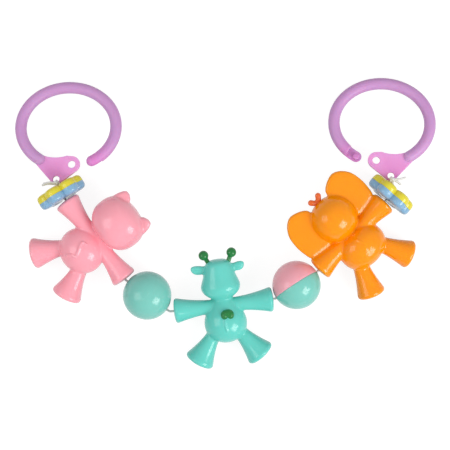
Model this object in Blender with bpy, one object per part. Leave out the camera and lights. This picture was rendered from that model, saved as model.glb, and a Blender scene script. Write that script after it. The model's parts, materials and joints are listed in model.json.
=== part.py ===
"""Pram chain toy: two clip hooks, two flower discs, three animals and two rattle balls on an elastic cord.

Metres, +Z up. The chain lies on the floor, backs of the animals up, in the curve that it takes when laid down.
An animal's own frame has x along its arms, y towards its head and z towards its back.
"""

import math

import bmesh
import bpy
from mathutils import Matrix, Vector

# Cord and clearances
CORD_RADIUS = 0.00055
CORD_BORE_RADIUS = 0.0010
CORD_END_GAP = 0.00015
SEAM_GAP = 0.0003
SEAT_GAP = 0.0003
FLOOR_GAP = 0.00005
CUT_OVERRUN = 0.002
SHELL_WALL = 0.0016
# Giraffe hollows: torso height and middle, head width, height, depth and middle, as shares of the form
GIRAFFE_TORSO_HOLLOW_SHARES = (0.42, 0.43)
GIRAFFE_HEAD_HOLLOW_SHARES = (0.86, 0.8, 0.86, 0.85)

# Balls
BALL_RADIUS = 0.0136
BALL_WALL = 0.0015
LEFT_BALL_ROLL = 0.0
RIGHT_BALL_ROLL = math.radians(82)
PELLET_RADIUS = 0.0022
PELLET_SPACING = 0.0050
PELLET_COUNT = 3

# Flower discs
PETAL_COUNT = 6
PETAL_STEPS = 8
PETAL_RADIUS = 0.0054
PETAL_CENTRE_RADIUS = 0.0086
LEFT_FLOWER_ROLL = math.radians(-10)
RIGHT_FLOWER_ROLL = math.radians(3)
FLOWER_HALF_THICKNESS = 0.0043
FLOWER_EDGE_ROUND = 0.0012
FLOWER_DISH_RADIUS = 0.0054
FLOWER_DISH_DEPTH = 0.0016
# Across a flower's rounded edge: how far short of its face and how far in, as shares of the rounding
FLOWER_EDGE_SHARES = [(1.0, 0.0), (0.3, 0.3), (0.0, 1.0)]

# Gaps along the cord between neighbours
LEFT_BALL_GIRAFFE_GAP = 0.0037
LEFT_BALL_PIG_GAP = 0.0015
RIGHT_BALL_GAP = 0.0011
FLOWER_HAND_GAP = 0.0008
FLOWER_KNOT_GAP = 0.00025

# Where the chain lies: its middle, and the heading of each straight stretch of cord, left to right
AXIS_HEIGHT = BALL_RADIUS
GIRAFFE_X = -0.00085
GIRAFFE_Y = -0.04626
GIRAFFE_HEADING = math.radians(6.9)
LEFT_BALL_HEADING = math.radians(-35.5)
PIG_HEADING = math.radians(-53.1)
LEFT_FLOWER_HEADING = math.radians(-59.0)
LEFT_KNOT_HEADING = math.radians(-75.0)
RIGHT_BALL_HEADING = math.radians(33.0)
ELEPHANT_HEADING = math.radians(46.1)
RIGHT_FLOWER_HEADING = math.radians(49.3)
RIGHT_KNOT_HEADING = math.radians(103.0)
RIGHT_HOOK_TURN = math.radians(-3.0)
RIGHT_KNOT_STEM = 0.0036
LEFT_KNOT_STEM = 0.0002
LEFT_HOOK_TURN = 0.0

# Clip hook, seen with its stud facing down: x right, y up from the middle of the ring
RING_HALF_WIDTH = 0.0270
RING_HALF_HEIGHT = 0.02305
RING_BAR_RADIUS = 0.00325
RING_START_ANGLE = math.radians(234)
RING_END_ANGLE = math.radians(-59.3)
PLATE_THICKNESS = 0.0016
CORD_HOLE_X = -0.0061
CORD_HOLE_Y = -0.0301
CORD_HOLE_RADIUS = 0.0019
CORD_BRIDGE = 0.0012
SNAP_HOLE_X = 0.0024
SNAP_HOLE_Y = -0.0216
SNAP_HOLE_RADIUS = 0.0021
LOBE_RADIUS = 0.0047
BOSS_RADIUS = 0.0042
BOSS_HEIGHT = 0.0003
PLATE_BITE_RADIUS = 0.0200
PLATE_BITE_DEPTH = 0.0015
PLATE_EDGE_ROUND = 0.0003
PLATE_EDGE_ANGLE = math.radians(50)
STUD_CLEARANCE = 0.0002
STUD_FLAT_LENGTH = 0.0052
STUD_FLAT_CLEARANCE = 0.00005

# End knots
LOOP_RADIUS = 0.00165
KNOT_WRAP_RADIUS = 0.0010
KNOT_WRAP_COUNT = 3
KNOT_VALLEY_SHARE = 0.5
KNOT_SWELL_POWER = 0.5
KNOT_LIFT_ANGLE = math.radians(96)
TAIL_LENGTH = 0.0066
TAIL_RISE = 0.0008
TAIL_STEPS = 3
KNOT_WRAP_STEPS = 4
# How far each tail runs back over the plate, out to the side, and how high it leaves the knot
LEFT_TAIL_SHARES = [(0.0, 1.05, 0.8), (-0.13, 1.2, -0.5)]
RIGHT_TAIL_SHARES = [(0.08, 1.05, 0.8), (-0.55, 0.6, -0.5)]

# Pig
PIG_HAND_REACH = 0.0278
PIG_HAND_RADIUS = 0.0071
PIG_ARM_RADIUS = 0.0039
PIG_TORSO_HALF_WIDTH = 0.0133
PIG_TORSO_HALF_HEIGHT = 0.0122
PIG_TORSO_HALF_DEPTH = 0.0115
PIG_TORSO_DROP = 0.0102
PIG_HEAD_HALF_WIDTH = 0.0154
PIG_HEAD_HALF_HEIGHT = 0.0127
PIG_HEAD_HALF_DEPTH = 0.0128
PIG_HEAD_RISE = 0.0159
PIG_TORSO_POWER = 2.0
PIG_HEAD_POWER = 2.4
PIG_HIP_X = 0.0070
PIG_HIP_DROP = 0.0160
PIG_LEG_RADIUS = 0.0043
PIG_FOOT_X = 0.0145
PIG_FOOT_DROP = 0.0322
PIG_FOOT_RADIUS = 0.0086
PIG_EAR_INNER_X = 0.0062
PIG_EAR_TIP_X = 0.0108
PIG_EAR_OUTER_X = 0.0136
PIG_EAR_TIP_RISE = 0.0306
PIG_EAR_THICKNESS = 0.0040
PIG_EAR_LEVEL_SHARES = [(-1, 0.75), (-0.6, 1.0), (0.6, 1.0), (1, 0.75)]
PIG_EAR_ROOT_SHARE = 0.5
PIG_SNOUT_RADIUS = 0.0048
PIG_SNOUT_DROP = 0.0010
PIG_SNOUT_ROOT_SHARE = 0.7
NOSTRIL_SPACING_SHARE = 0.4
NOSTRIL_DEPTH_SHARE = 1.5
PIG_NOSTRIL_RADIUS = 0.0009
PIG_TAIL_RADIUS = 0.0009
PIG_TAIL_HALF_HEIGHT = 0.0068

# Giraffe
GIRAFFE_HAND_REACH = 0.0286
GIRAFFE_HAND_RADIUS = 0.0070
GIRAFFE_ARM_RADIUS = 0.0037
GIRAFFE_TORSO_HALF_WIDTH = 0.0120
GIRAFFE_TORSO_HALF_DEPTH = 0.0108
GIRAFFE_TORSO_BOTTOM = 0.0214
GIRAFFE_NECK_TOP = 0.0085
GIRAFFE_MUZZLE_HALF_WIDTH = 0.0108
GIRAFFE_HEAD_HALF_DEPTH = 0.0096
GIRAFFE_CHIN_RISE = 0.0032
GIRAFFE_CROWN_RISE = 0.0264
GIRAFFE_HIP_X = 0.0065
GIRAFFE_HIP_DROP = 0.0150
GIRAFFE_LEG_RADIUS = 0.0038
GIRAFFE_FOOT_X = 0.0170
GIRAFFE_FOOT_DROP = 0.0298
GIRAFFE_FOOT_RADIUS = 0.0083
GIRAFFE_EAR_LENGTH = 0.0092
GIRAFFE_EAR_HALF_WIDTH = 0.0026
GIRAFFE_EAR_THICKNESS = 0.0026
GIRAFFE_EAR_X = 0.0068
GIRAFFE_EAR_RISE = 0.0212
HORN_BALL_RADIUS = 0.0028
HORN_X = 0.0078
HORN_RISE = 0.0294
HORN_FOOT_X = 0.0052
HORN_FOOT_RISE = 0.0240
HORN_STEM_RADIUS = 0.0013
HORN_PEG_SHARE = 1.5
GIRAFFE_MUZZLE_RADIUS = 0.0062
GIRAFFE_MUZZLE_RISE = 0.0102
GIRAFFE_MUZZLE_ROOT_SHARE = 0.6
GIRAFFE_EYE_RISE_SHARE = 1.3
GIRAFFE_EYE_DEPTH_SHARE = 0.66
TUFT_HALF_WIDTH = 0.0038
TUFT_HALF_HEIGHT = 0.0029
TUFT_HEIGHT = 0.0026
TUFT_DROP = 0.0034
TUFT_SIDE_SHARE = 0.4
TUFT_POWER = 2.2
TUFT_NOTCH_RADIUS = 0.0013
TUFT_PEG_RADIUS = 0.0011
GIRAFFE_TAIL_RADIUS = 0.0009
GIRAFFE_TAIL_LENGTH = 0.0062
# Down the giraffe's tail: how far to the side and how far down, as shares of its length
GIRAFFE_TAIL_SHARES = [(0.10, 1.55), (-0.12, 1.30), (-0.15, 1.0), (0.08, 0.55)]

# Elephant
ELEPHANT_HAND_REACH = 0.0269
ELEPHANT_HAND_RADIUS = 0.0068
ELEPHANT_ARM_RADIUS = 0.0040
ELEPHANT_TORSO_HALF_WIDTH = 0.0140
ELEPHANT_TORSO_HALF_HEIGHT = 0.0104
ELEPHANT_TORSO_HALF_DEPTH = 0.0116
ELEPHANT_TORSO_DROP = 0.0092
ELEPHANT_HEAD_HALF_WIDTH = 0.0128
ELEPHANT_HEAD_HALF_HEIGHT = 0.0125
ELEPHANT_HEAD_HALF_DEPTH = 0.0124
ELEPHANT_HEAD_RISE = 0.0143
ELEPHANT_TORSO_POWER = 2.2
ELEPHANT_HEAD_POWER = 2.1
ELEPHANT_HIP_X = 0.0072
ELEPHANT_HIP_DROP = 0.0130
ELEPHANT_LEG_RADIUS = 0.0043
ELEPHANT_FOOT_X = 0.0150
ELEPHANT_FOOT_DROP = 0.0308
ELEPHANT_FOOT_RADIUS = 0.0080
ELEPHANT_EAR_X = 0.0164
ELEPHANT_EAR_RISE = 0.0200
ELEPHANT_EAR_HALF_WIDTH = 0.0096
ELEPHANT_EAR_HALF_HEIGHT = 0.0125
ELEPHANT_EAR_THICKNESS = 0.0032
ELEPHANT_EAR_LEVEL_SHARES = [(-1, 0.86), (-0.45, 1.0), (0.45, 1.0), (1, 0.86)]
# Round an elephant's ear from its inner top: how far out and how far up from its middle
ELEPHANT_EAR_EDGE_SHARES = [(-1.0, 0.3), (-0.93, 0.65), (-0.52, 0.89), (0.04, 1.0), (0.52, 0.80),
                            (0.86, 0.40), (0.97, -0.10), (0.94, -0.50), (0.80, -0.92), (0.42, -1.0),
                            (0.0, -1.0), (-0.45, -1.06), (-1.0, -0.9)]
TRUNK_ROOT_RADIUS = 0.0042
TRUNK_TIP_RADIUS = 0.0028
TRUNK_LENGTH = 0.0105
TRUNK_ROOT_SHARE = 0.62
TRUNK_DROP_SHARE = 0.5
HAIR_LOBE_RADIUS = 0.0015
HAIR_LOBE_X = 0.0028
HAIR_TOP_RISE = 0.0314
HAIR_STEM_RADIUS = 0.0014
HAIR_FOOT_SHARE = 0.55
HAIR_PEG_RADIUS = 0.0012
HAIR_PEG_DEPTH = 0.0030
ELEPHANT_TAIL_RADIUS = 0.0007
ELEPHANT_TAIL_LENGTH = 0.0070
# Down the elephant's tail: how far to the side and how far up, as shares of its length
ELEPHANT_TAIL_SHARES = [(0.0, 0.5), (0.12, 0.0), (-0.05, -0.5)]

# Shapes that the animals share
HAND_RIM_ROUND = 0.0014
HAND_BULGE = 0.0010
DOME_RING_RISE_SHARE = 0.75
DOME_RING_WIDTH_SHARE = 0.5
SOLE_RIM_ROUND = 0.0009
SOLE_BULGE = 0.0016
EYE_RADIUS = 0.0015
EYE_PROUD = 0.0006
EYE_HALF_SPACING_SHARE = 0.38
EYE_RISE_SHARE = 0.18
SNOUT_RIM_SHARE = 0.15
FIGURE_REACH_SHARE = 4
LIMB_FLARE_POWER = 1.95
RELIEF_PROUD_SHARE = 0.55

# Half widths of the pear-shaped torso and of the head, from their lowest point to their highest
TORSO_PEAR_SHARES = [(0.0, 0.0), (0.03, 0.42), (0.10, 0.72), (0.22, 0.93), (0.38, 1.0), (0.55, 0.90),
                     (0.72, 0.64), (0.86, 0.44), (1.0, 0.38)]
GIRAFFE_HEAD_SHARES = [(0.0, 0.0), (0.02, 0.34), (0.06, 0.54), (0.15, 0.81), (0.24, 0.95), (0.345, 1.0),
                       (0.466, 0.92), (0.586, 0.81), (0.707, 0.76), (0.828, 0.70), (0.93, 0.60), (0.98, 0.42),
                       (1.0, 0.0)]
# Along a giraffe's ear: how far out, how high its middle is and how wide it is
GIRAFFE_EAR_SHARES = [(0.0, 0.0, 0.96), (0.25, 0.0, 1.0), (0.5, 0.02, 0.98), (0.75, 0.16, 0.82),
                      (0.92, 0.42, 0.52), (1.0, 0.78, 0.0)]
PIG_TAIL_SHARES = [(-0.57, -0.88), (-0.16, -0.59), (0.02, -0.16), (-0.25, 0.33), (-0.44, 0.63), (-0.29, 1.0)]

# Counts
ROUND_SIDES = 16
LIMB_SIDES = 12
SMALL_SIDES = 8
BLOB_RINGS = 8
BALL_RINGS = 5
CAVITY_SIDES = 12
CAVITY_RINGS = 6
TUFT_RINGS = 7
TRUNK_STEPS = 6
RELIEF_STEPS = 3
EAR_EDGE_STEPS = 2
BALL_SIDES = 20
RING_STEPS = 28
RING_SIDES = 10
HOLE_SIDES = 16
BOSS_SIDES = 20
STUD_SIDES = 14
BITE_SIDES = 48
PLATE_ARC_STEPS = 7
LOOP_STEPS = 14
TAIL_SIDES = 6
KNOT_NECK_SIDES = 10

PLASTIC_ROUGHNESS = 0.18
SMOOTH_ANGLE = math.radians(35)
CAP_ANGLES = (math.radians(30), math.radians(60))
COLOURS = {
    "lilac": (0.60, 0.32, 0.60),
    "cord": (0.60, 0.60, 0.57),
    "yellow": (0.79, 0.68, 0.05),
    "blue": (0.28, 0.51, 0.75),
    "mint": (0.23, 0.64, 0.57),
    "pink": (0.83, 0.36, 0.43),
    "pig_pink": (1.00, 0.38, 0.46),
    "giraffe_mint": (0.19, 0.68, 0.60),
    "dark_green": (0.03, 0.22, 0.05),
    "orange": (1.00, 0.33, 0.01),
    "dark_orange": (0.95, 0.17, 0.02),
}


def clear_scene():
    for old in list(bpy.data.objects):
        bpy.data.objects.remove(old, do_unlink=True)


def material(name):
    """A glossy moulded plastic in one of the named colours."""
    found = bpy.data.materials.get(name)
    if found:
        return found
    made = bpy.data.materials.new(name)
    made.use_nodes = True
    shader = made.node_tree.nodes["Principled BSDF"]
    shader.inputs["Base Color"].default_value = (*COLOURS[name], 1.0)
    shader.inputs["Roughness"].default_value = PLASTIC_ROUGHNESS
    shader.inputs["Metallic"].default_value = 0.0
    made.diffuse_color = (*COLOURS[name], 1.0)
    return made


def frame(name, matrix):
    """An empty that carries the pieces of one body."""
    empty = bpy.data.objects.new(name, None)
    empty.matrix_world = matrix
    bpy.context.scene.collection.objects.link(empty)
    return empty


def add(name, mesh, parent, colour=None):
    """A piece in its parent's frame, or a hidden guide where no colour is given."""
    piece = bpy.data.objects.new(name, mesh)
    piece.parent = parent
    bpy.context.scene.collection.objects.link(piece)
    if colour is None:
        piece.hide_render = True
        piece.display_type = "WIRE"
    else:
        mesh.materials.clear()
        mesh.materials.append(material(colour))
    return piece


def boolean(piece, other, operation):
    step = piece.modifiers.new(other.name, "BOOLEAN")
    step.operation = operation
    step.solver = "EXACT"
    step.object = other


def settled(piece):
    """The mesh of a piece with its modifiers applied, in triangles so that wide flat faces keep their holes."""
    bpy.context.view_layer.update()
    graph = bpy.context.evaluated_depsgraph_get()
    mesh = bpy.data.meshes.new_from_object(piece.evaluated_get(graph))
    skin = bmesh.new()
    skin.from_mesh(mesh)
    bmesh.ops.triangulate(skin, faces=skin.faces)
    skin.to_mesh(mesh)
    skin.free()
    return mesh


def round_off(piece):
    piece.data.shade_smooth()
    piece.data.set_sharp_from_angle(angle=SMOOTH_ANGLE)


def loft(name, rings, closed=False):
    """A closed skin over rings of points; a ring of one point is a pole."""
    skin = bmesh.new()
    rows = [[skin.verts.new(point) for point in ring] for ring in rings]
    pairs = list(zip(rows, rows[1:]))
    if closed:
        pairs.append((rows[-1], rows[0]))
    for low, high in pairs:
        count = max(len(low), len(high))
        for k in range(count):
            after = (k + 1) % count
            corners = [low[k % len(low)], low[after % len(low)], high[after % len(high)], high[k % len(high)]]
            skin.faces.new(list(dict.fromkeys(corners)))
    if not closed:
        for end in (rows[0], rows[-1]):
            if len(end) > 1:
                skin.faces.new(end)
    bmesh.ops.recalc_face_normals(skin, faces=skin.faces)
    mesh = bpy.data.meshes.new(name)
    skin.to_mesh(mesh)
    skin.free()
    return mesh


def turned(name, profile, sides, depth_share=1.0):
    """A solid turned about y from (y, radius) pairs, flattened along z by the depth share."""
    rings = []
    for y, radius in profile:
        if radius == 0:
            rings.append([Vector((0, y, 0))])
            continue
        turns = [math.tau * k / sides for k in range(sides)]
        rings.append([Vector((radius * math.cos(t), y, radius * depth_share * math.sin(t))) for t in turns])
    return loft(name, rings)


def superellipse(half_width, half_height, middle, power, rings):
    """The (y, radius) pairs of a rounded form; a power over 2 makes it squarer."""
    pairs = [(middle - half_height, 0)]
    for k in range(1, rings):
        turn = math.pi * (k / rings - 0.5)
        y = math.copysign(abs(math.sin(turn)) ** (2 / power), turn)
        pairs.append((middle + half_height * y, half_width * math.cos(turn) ** (2 / power)))
    pairs.append((middle + half_height, 0))
    return pairs


def shared_profile(shares, low, high, half_width):
    return [(low + (high - low) * y, half_width * width) for y, width in shares]


def flared(start, length, narrow, wide, rim, bulge, steps=4, rim_steps=2):
    """The (y, radius) pairs of a limb that flares to a round-rimmed, slightly domed end."""
    straight = length - bulge - rim
    pairs = []
    for k in range(steps + 1):
        share = k / steps
        pairs.append((start + straight * share, narrow + (wide - narrow) * share ** LIMB_FLARE_POWER))
    for k in range(1, rim_steps + 1):
        turn = math.pi / 2 * k / rim_steps
        pairs.append((start + straight + rim * math.sin(turn), wide - rim * (1 - math.cos(turn))))
    pairs.append((start + straight + rim + bulge * DOME_RING_RISE_SHARE, (wide - rim) * DOME_RING_WIDTH_SHARE))
    pairs.append((start + length, 0))
    return pairs


def tube(name, points, radii, sides, closed=False):
    """A round bar along points, with a radius for each or one for all, and round ends unless it is closed."""
    count = len(points)
    if not isinstance(radii, list):
        radii = [radii] * count
    rings = []
    normal = None
    for k, point in enumerate(points):
        before = points[k - 1] if closed or k else point
        after = points[(k + 1) % count] if closed or k < count - 1 else point
        tangent = (after - before).normalized()
        if normal is None:
            normal = tangent.orthogonal().normalized()
        normal = (normal - tangent * normal.dot(tangent)).normalized()
        side = tangent.cross(normal)
        turns = [math.tau * j / sides for j in range(sides)]
        ring = [normal * math.cos(t) + side * math.sin(t) for t in turns]
        rings.append((point, tangent, ring))
    skin = [[point + spoke * radius for spoke in ring] for (point, _, ring), radius in zip(rings, radii)]
    if closed:
        return loft(name, skin, closed)

    def cap(end, radius, way):
        point, tangent, spokes = end
        domes = [[point + tangent * way * radius * math.sin(t) + spoke * radius * math.cos(t)
                  for spoke in spokes] for t in CAP_ANGLES]
        return domes + [[point + tangent * way * radius]]

    return loft(name, cap(rings[0], radii[0], -1)[::-1] + skin + cap(rings[-1], radii[-1], 1))


def block(name, low, high):
    """A box between two corners."""
    box = bmesh.new()
    bmesh.ops.create_cube(box, size=1.0)
    low, high = Vector(low), Vector(high)
    for vertex in box.verts:
        vertex.co = Vector(((low[i] + high[i]) / 2 + vertex.co[i] * (high[i] - low[i]) for i in range(3)))
    mesh = bpy.data.meshes.new(name)
    box.to_mesh(mesh)
    box.free()
    return mesh


def disc(name, radius, low, high, sides, middle=(0, 0)):
    """An upright round block."""
    turns = [math.tau * k / sides for k in range(sides)]
    circle = [(middle[0] + radius * math.cos(t), middle[1] + radius * math.sin(t)) for t in turns]
    return loft(name, [[Vector((x, y, z)) for x, y in circle] for z in (low, high)])


def ball_mesh(name, radius, middle, sides=SMALL_SIDES, rings=BALL_RINGS):
    mesh = turned(name, superellipse(radius, radius, 0, 2, rings), sides)
    mesh.transform(Matrix.Translation(middle))
    return mesh


def aimed(direction, start=(0, 0, 0)):
    """The matrix that turns a y-axis form along a direction."""
    turn = Vector((0, 1, 0)).rotation_difference(Vector(direction)).to_matrix().to_4x4()
    return Matrix.Translation(start) @ turn


def ahead(heading):
    return Vector((math.cos(heading), math.sin(heading), 0))


def resting_tilt(foot_drop, foot_radius):
    """The tilt about the arms at which the rims of the feet reach the floor."""
    reach = math.hypot(foot_drop, foot_radius)
    return math.asin((AXIS_HEIGHT - FLOOR_GAP) / reach) - math.atan2(foot_radius, foot_drop)


def floor_depth(y, tilt):
    """How far under its seam plane an animal's point at y meets the floor."""
    return (AXIS_HEIGHT - SEAT_GAP + y * math.sin(tilt)) / math.cos(tilt)


def dome_height(x, y, half_width, half_height, half_depth, middle, power):
    """The height of a rounded form's back over its seam plane."""
    share = max(0, 1 - abs((y - middle) / half_height) ** power) ** (1 / power)
    across = max(0, share ** 2 - (x / half_width) ** 2)
    return half_depth * math.sqrt(across)


def place(spot, heading, tilt=0.0):
    return Matrix.Translation(spot) @ Matrix.Rotation(heading, 4, "Z") @ Matrix.Rotation(tilt, 4, "X")


def cord_stretch(name, pivot, heading, low, high):
    """A straight stretch of cord with round ends, from low to high along its heading from its pivot."""
    parent = frame(f"{name}_frame", place(pivot, heading))
    inset = CORD_END_GAP + CORD_RADIUS
    points = [Vector((low + inset, 0, 0)), Vector((high - inset, 0, 0))]
    piece = add(name, tube(name, points, CORD_RADIUS, SMALL_SIDES), parent, "cord")
    round_off(piece)


def lay_out_side(sign, gaps, headings, reach, stem):
    """The pivots and centres of one side of the chain, from the middle outwards."""
    inner_gap, outer_gap = gaps
    ball_way, animal_way, flower_way, knot_way = [ahead(heading) * sign for heading in headings]
    middle = Vector((GIRAFFE_X, GIRAFFE_Y, AXIS_HEIGHT))
    spots = {}
    spots["giraffe_pivot"] = middle + ahead(GIRAFFE_HEADING) * sign * (GIRAFFE_HAND_REACH + inner_gap / 2)
    spots["ball"] = spots["giraffe_pivot"] + ball_way * (inner_gap / 2 + BALL_RADIUS)
    spots["animal_pivot"] = spots["ball"] + ball_way * (BALL_RADIUS + outer_gap / 2)
    spots["animal"] = spots["animal_pivot"] + animal_way * (outer_gap / 2 + reach)
    spots["flower_pivot"] = spots["animal"] + animal_way * (reach + FLOWER_HAND_GAP / 2)
    spots["flower"] = spots["flower_pivot"] + flower_way * (FLOWER_HAND_GAP / 2 + FLOWER_HALF_THICKNESS)
    spots["knot_pivot"] = spots["flower"] + flower_way * (FLOWER_HALF_THICKNESS - FLOWER_DISH_DEPTH
                                                          + FLOWER_KNOT_GAP)
    spots["loop"] = spots["knot_pivot"] + knot_way * (LOOP_RADIUS + CORD_RADIUS + CORD_END_GAP + stem)
    spots["hole"] = spots["loop"] + knot_way * (CORD_HOLE_RADIUS + CORD_BRIDGE / 2)
    return spots


def animal_form(name, parent, limbs, torso, head, extras):
    """The whole outer form of an animal as one solid mesh."""
    whole = add(name + "_form_guide", torso, parent)
    for number, mesh in enumerate([head] + limbs + extras):
        boolean(whole, add(f"{name}_form_part_{number}", mesh, parent), "UNION")
    return settled(whole)


def shells(name, parent, form, cavities, cuts, colour, front_extras, back_extras):
    """Splits an animal's form at its seam plane into a front and a back shell."""
    reach = Vector((1, 1, 1)) * BALL_RADIUS * FIGURE_REACH_SHARE
    half_gap = SEAM_GAP / 2
    spans = {"front": (-reach.z, -half_gap, front_extras), "back": (half_gap, reach.z, back_extras)}
    cutters = [add(f"{name}_cavity_{number}", mesh, parent) for number, mesh in enumerate(cavities + cuts)]
    for side, (low, high, extras) in spans.items():
        shell = add(f"{name}_{side}_shell", form.copy(), parent, colour)
        for number, mesh in enumerate(extras):
            boolean(shell, add(f"{name}_{side}_relief_{number}", mesh, parent), "UNION")
        half = block(f"{name}_{side}_half", (-reach.x, -reach.y, low), (reach.x, reach.y, high))
        boolean(shell, add(f"{name}_{side}_half", half, parent), "INTERSECT")
        for cutter in cutters:
            boolean(shell, cutter, "DIFFERENCE")
        shell.data = settled(shell)
        shell.modifiers.clear()
        round_off(shell)


def arms_mesh(name, reach, hand_radius, arm_radius):
    """Both arms as one bar through the shoulders, along x."""
    half = flared(0, reach, arm_radius, hand_radius, HAND_RIM_ROUND, HAND_BULGE)
    profile = [(-y, radius) for y, radius in half[:0:-1]] + half
    mesh = turned(name, profile, LIMB_SIDES)
    mesh.transform(aimed((1, 0, 0)))
    return mesh


def leg_mesh(name, sign, hip_x, hip_drop, foot_x, foot_drop, leg_radius, foot_radius):
    """A leg from inside the torso down to its domed sole."""
    hip = Vector((sign * hip_x, -hip_drop, 0))
    ankle = Vector((sign * foot_x, -foot_drop, 0))
    way = ankle - hip
    length = way.length + SOLE_RIM_ROUND + SOLE_BULGE
    profile = flared(0, length, leg_radius, foot_radius, SOLE_RIM_ROUND, SOLE_BULGE)
    mesh = turned(name, profile, LIMB_SIDES)
    mesh.transform(aimed(way, hip))
    return mesh


def bore_mesh(name, reach):
    """The cord's bore through both hands."""
    mesh = turned(name, [(-reach - CUT_OVERRUN, CORD_BORE_RADIUS), (reach + CUT_OVERRUN, CORD_BORE_RADIUS)],
                  SMALL_SIDES)
    mesh.transform(aimed((1, 0, 0)))
    return mesh


def eye_meshes(name, half_width, half_height, half_depth, middle, power):
    """Two low domes on the front of a head."""
    meshes = []
    for sign in (-1, 1):
        x = sign * half_width * EYE_HALF_SPACING_SHARE
        y = middle + half_height * EYE_RISE_SHARE
        depth = dome_height(x, y, half_width, half_height, half_depth, middle, power)
        centre = Vector((x, y, -depth + EYE_RADIUS - EYE_PROUD))
        meshes.append(ball_mesh(f"{name}_eye_{sign}", EYE_RADIUS, centre))
    return meshes


def relief_tube(name, places, radius, height):
    """A raised line that follows a back, half sunk in it; height gives the back's height at x and y."""
    sunk = radius * (1 - 2 * RELIEF_PROUD_SHARE)
    points = [Vector((x, y, height(x, y) - sunk)) for x, y in places]
    return tube(name, points, radius, SMALL_SIDES)


def smooth_places(places, steps):
    """A smooth line through chosen places, as points."""
    ends = [places[0]] + list(places) + [places[-1]]
    made = []
    for a, b, c, d in zip(ends, ends[1:], ends[2:], ends[3:]):
        for k in range(steps):
            t = k / steps
            made.append(tuple(0.5 * (2 * q + (r - p) * t + (2 * p - 5 * q + 4 * r - s) * t * t
                                     + (3 * q - p - 3 * r + s) * t ** 3)
                              for p, q, r, s in zip(a, b, c, d)))
    made.append(tuple(places[-1]))
    return made


def pig_ear(sign):
    """A pointed ear standing on the head, as an extruded outline."""
    low = PIG_HEAD_RISE + PIG_HEAD_HALF_HEIGHT / 2
    shoulder = PIG_HEAD_RISE + PIG_HEAD_HALF_HEIGHT - PIG_EAR_THICKNESS / 2
    outline = [(PIG_EAR_INNER_X, low), (PIG_EAR_OUTER_X, low), (PIG_EAR_OUTER_X, shoulder),
               (PIG_EAR_TIP_X + PIG_EAR_THICKNESS / 4, PIG_EAR_TIP_RISE - PIG_EAR_THICKNESS / 6),
               (PIG_EAR_TIP_X - PIG_EAR_THICKNESS / 4, PIG_EAR_TIP_RISE),
               (PIG_EAR_INNER_X, PIG_EAR_TIP_RISE - PIG_EAR_THICKNESS / 2)]
    rings = []
    for level, inset in PIG_EAR_LEVEL_SHARES:
        z = level * PIG_EAR_THICKNESS / 2
        middle = Vector((PIG_EAR_TIP_X, low, 0))
        rings.append([Vector((sign * (middle.x + (x - middle.x) * inset), middle.y + (y - middle.y)
                              * (PIG_EAR_ROOT_SHARE + inset / 2), z)) for x, y in outline])
    return loft(f"pig_ear_{sign}", rings)


def snout_mesh(name, radius, y, tilt, top_depth):
    """A short round snout on the front of a head, down to the floor."""
    depth = floor_depth(y - radius, tilt)
    rim = radius * SNOUT_RIM_SHARE
    mesh = loft(name, [[Vector((r * math.cos(t), y + r * math.sin(t), z))
                        for t in [math.tau * k / LIMB_SIDES for k in range(LIMB_SIDES)]]
                       for r, z in ((radius, -top_depth), (radius, rim - depth), (radius - rim, -depth))])
    return mesh


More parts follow.
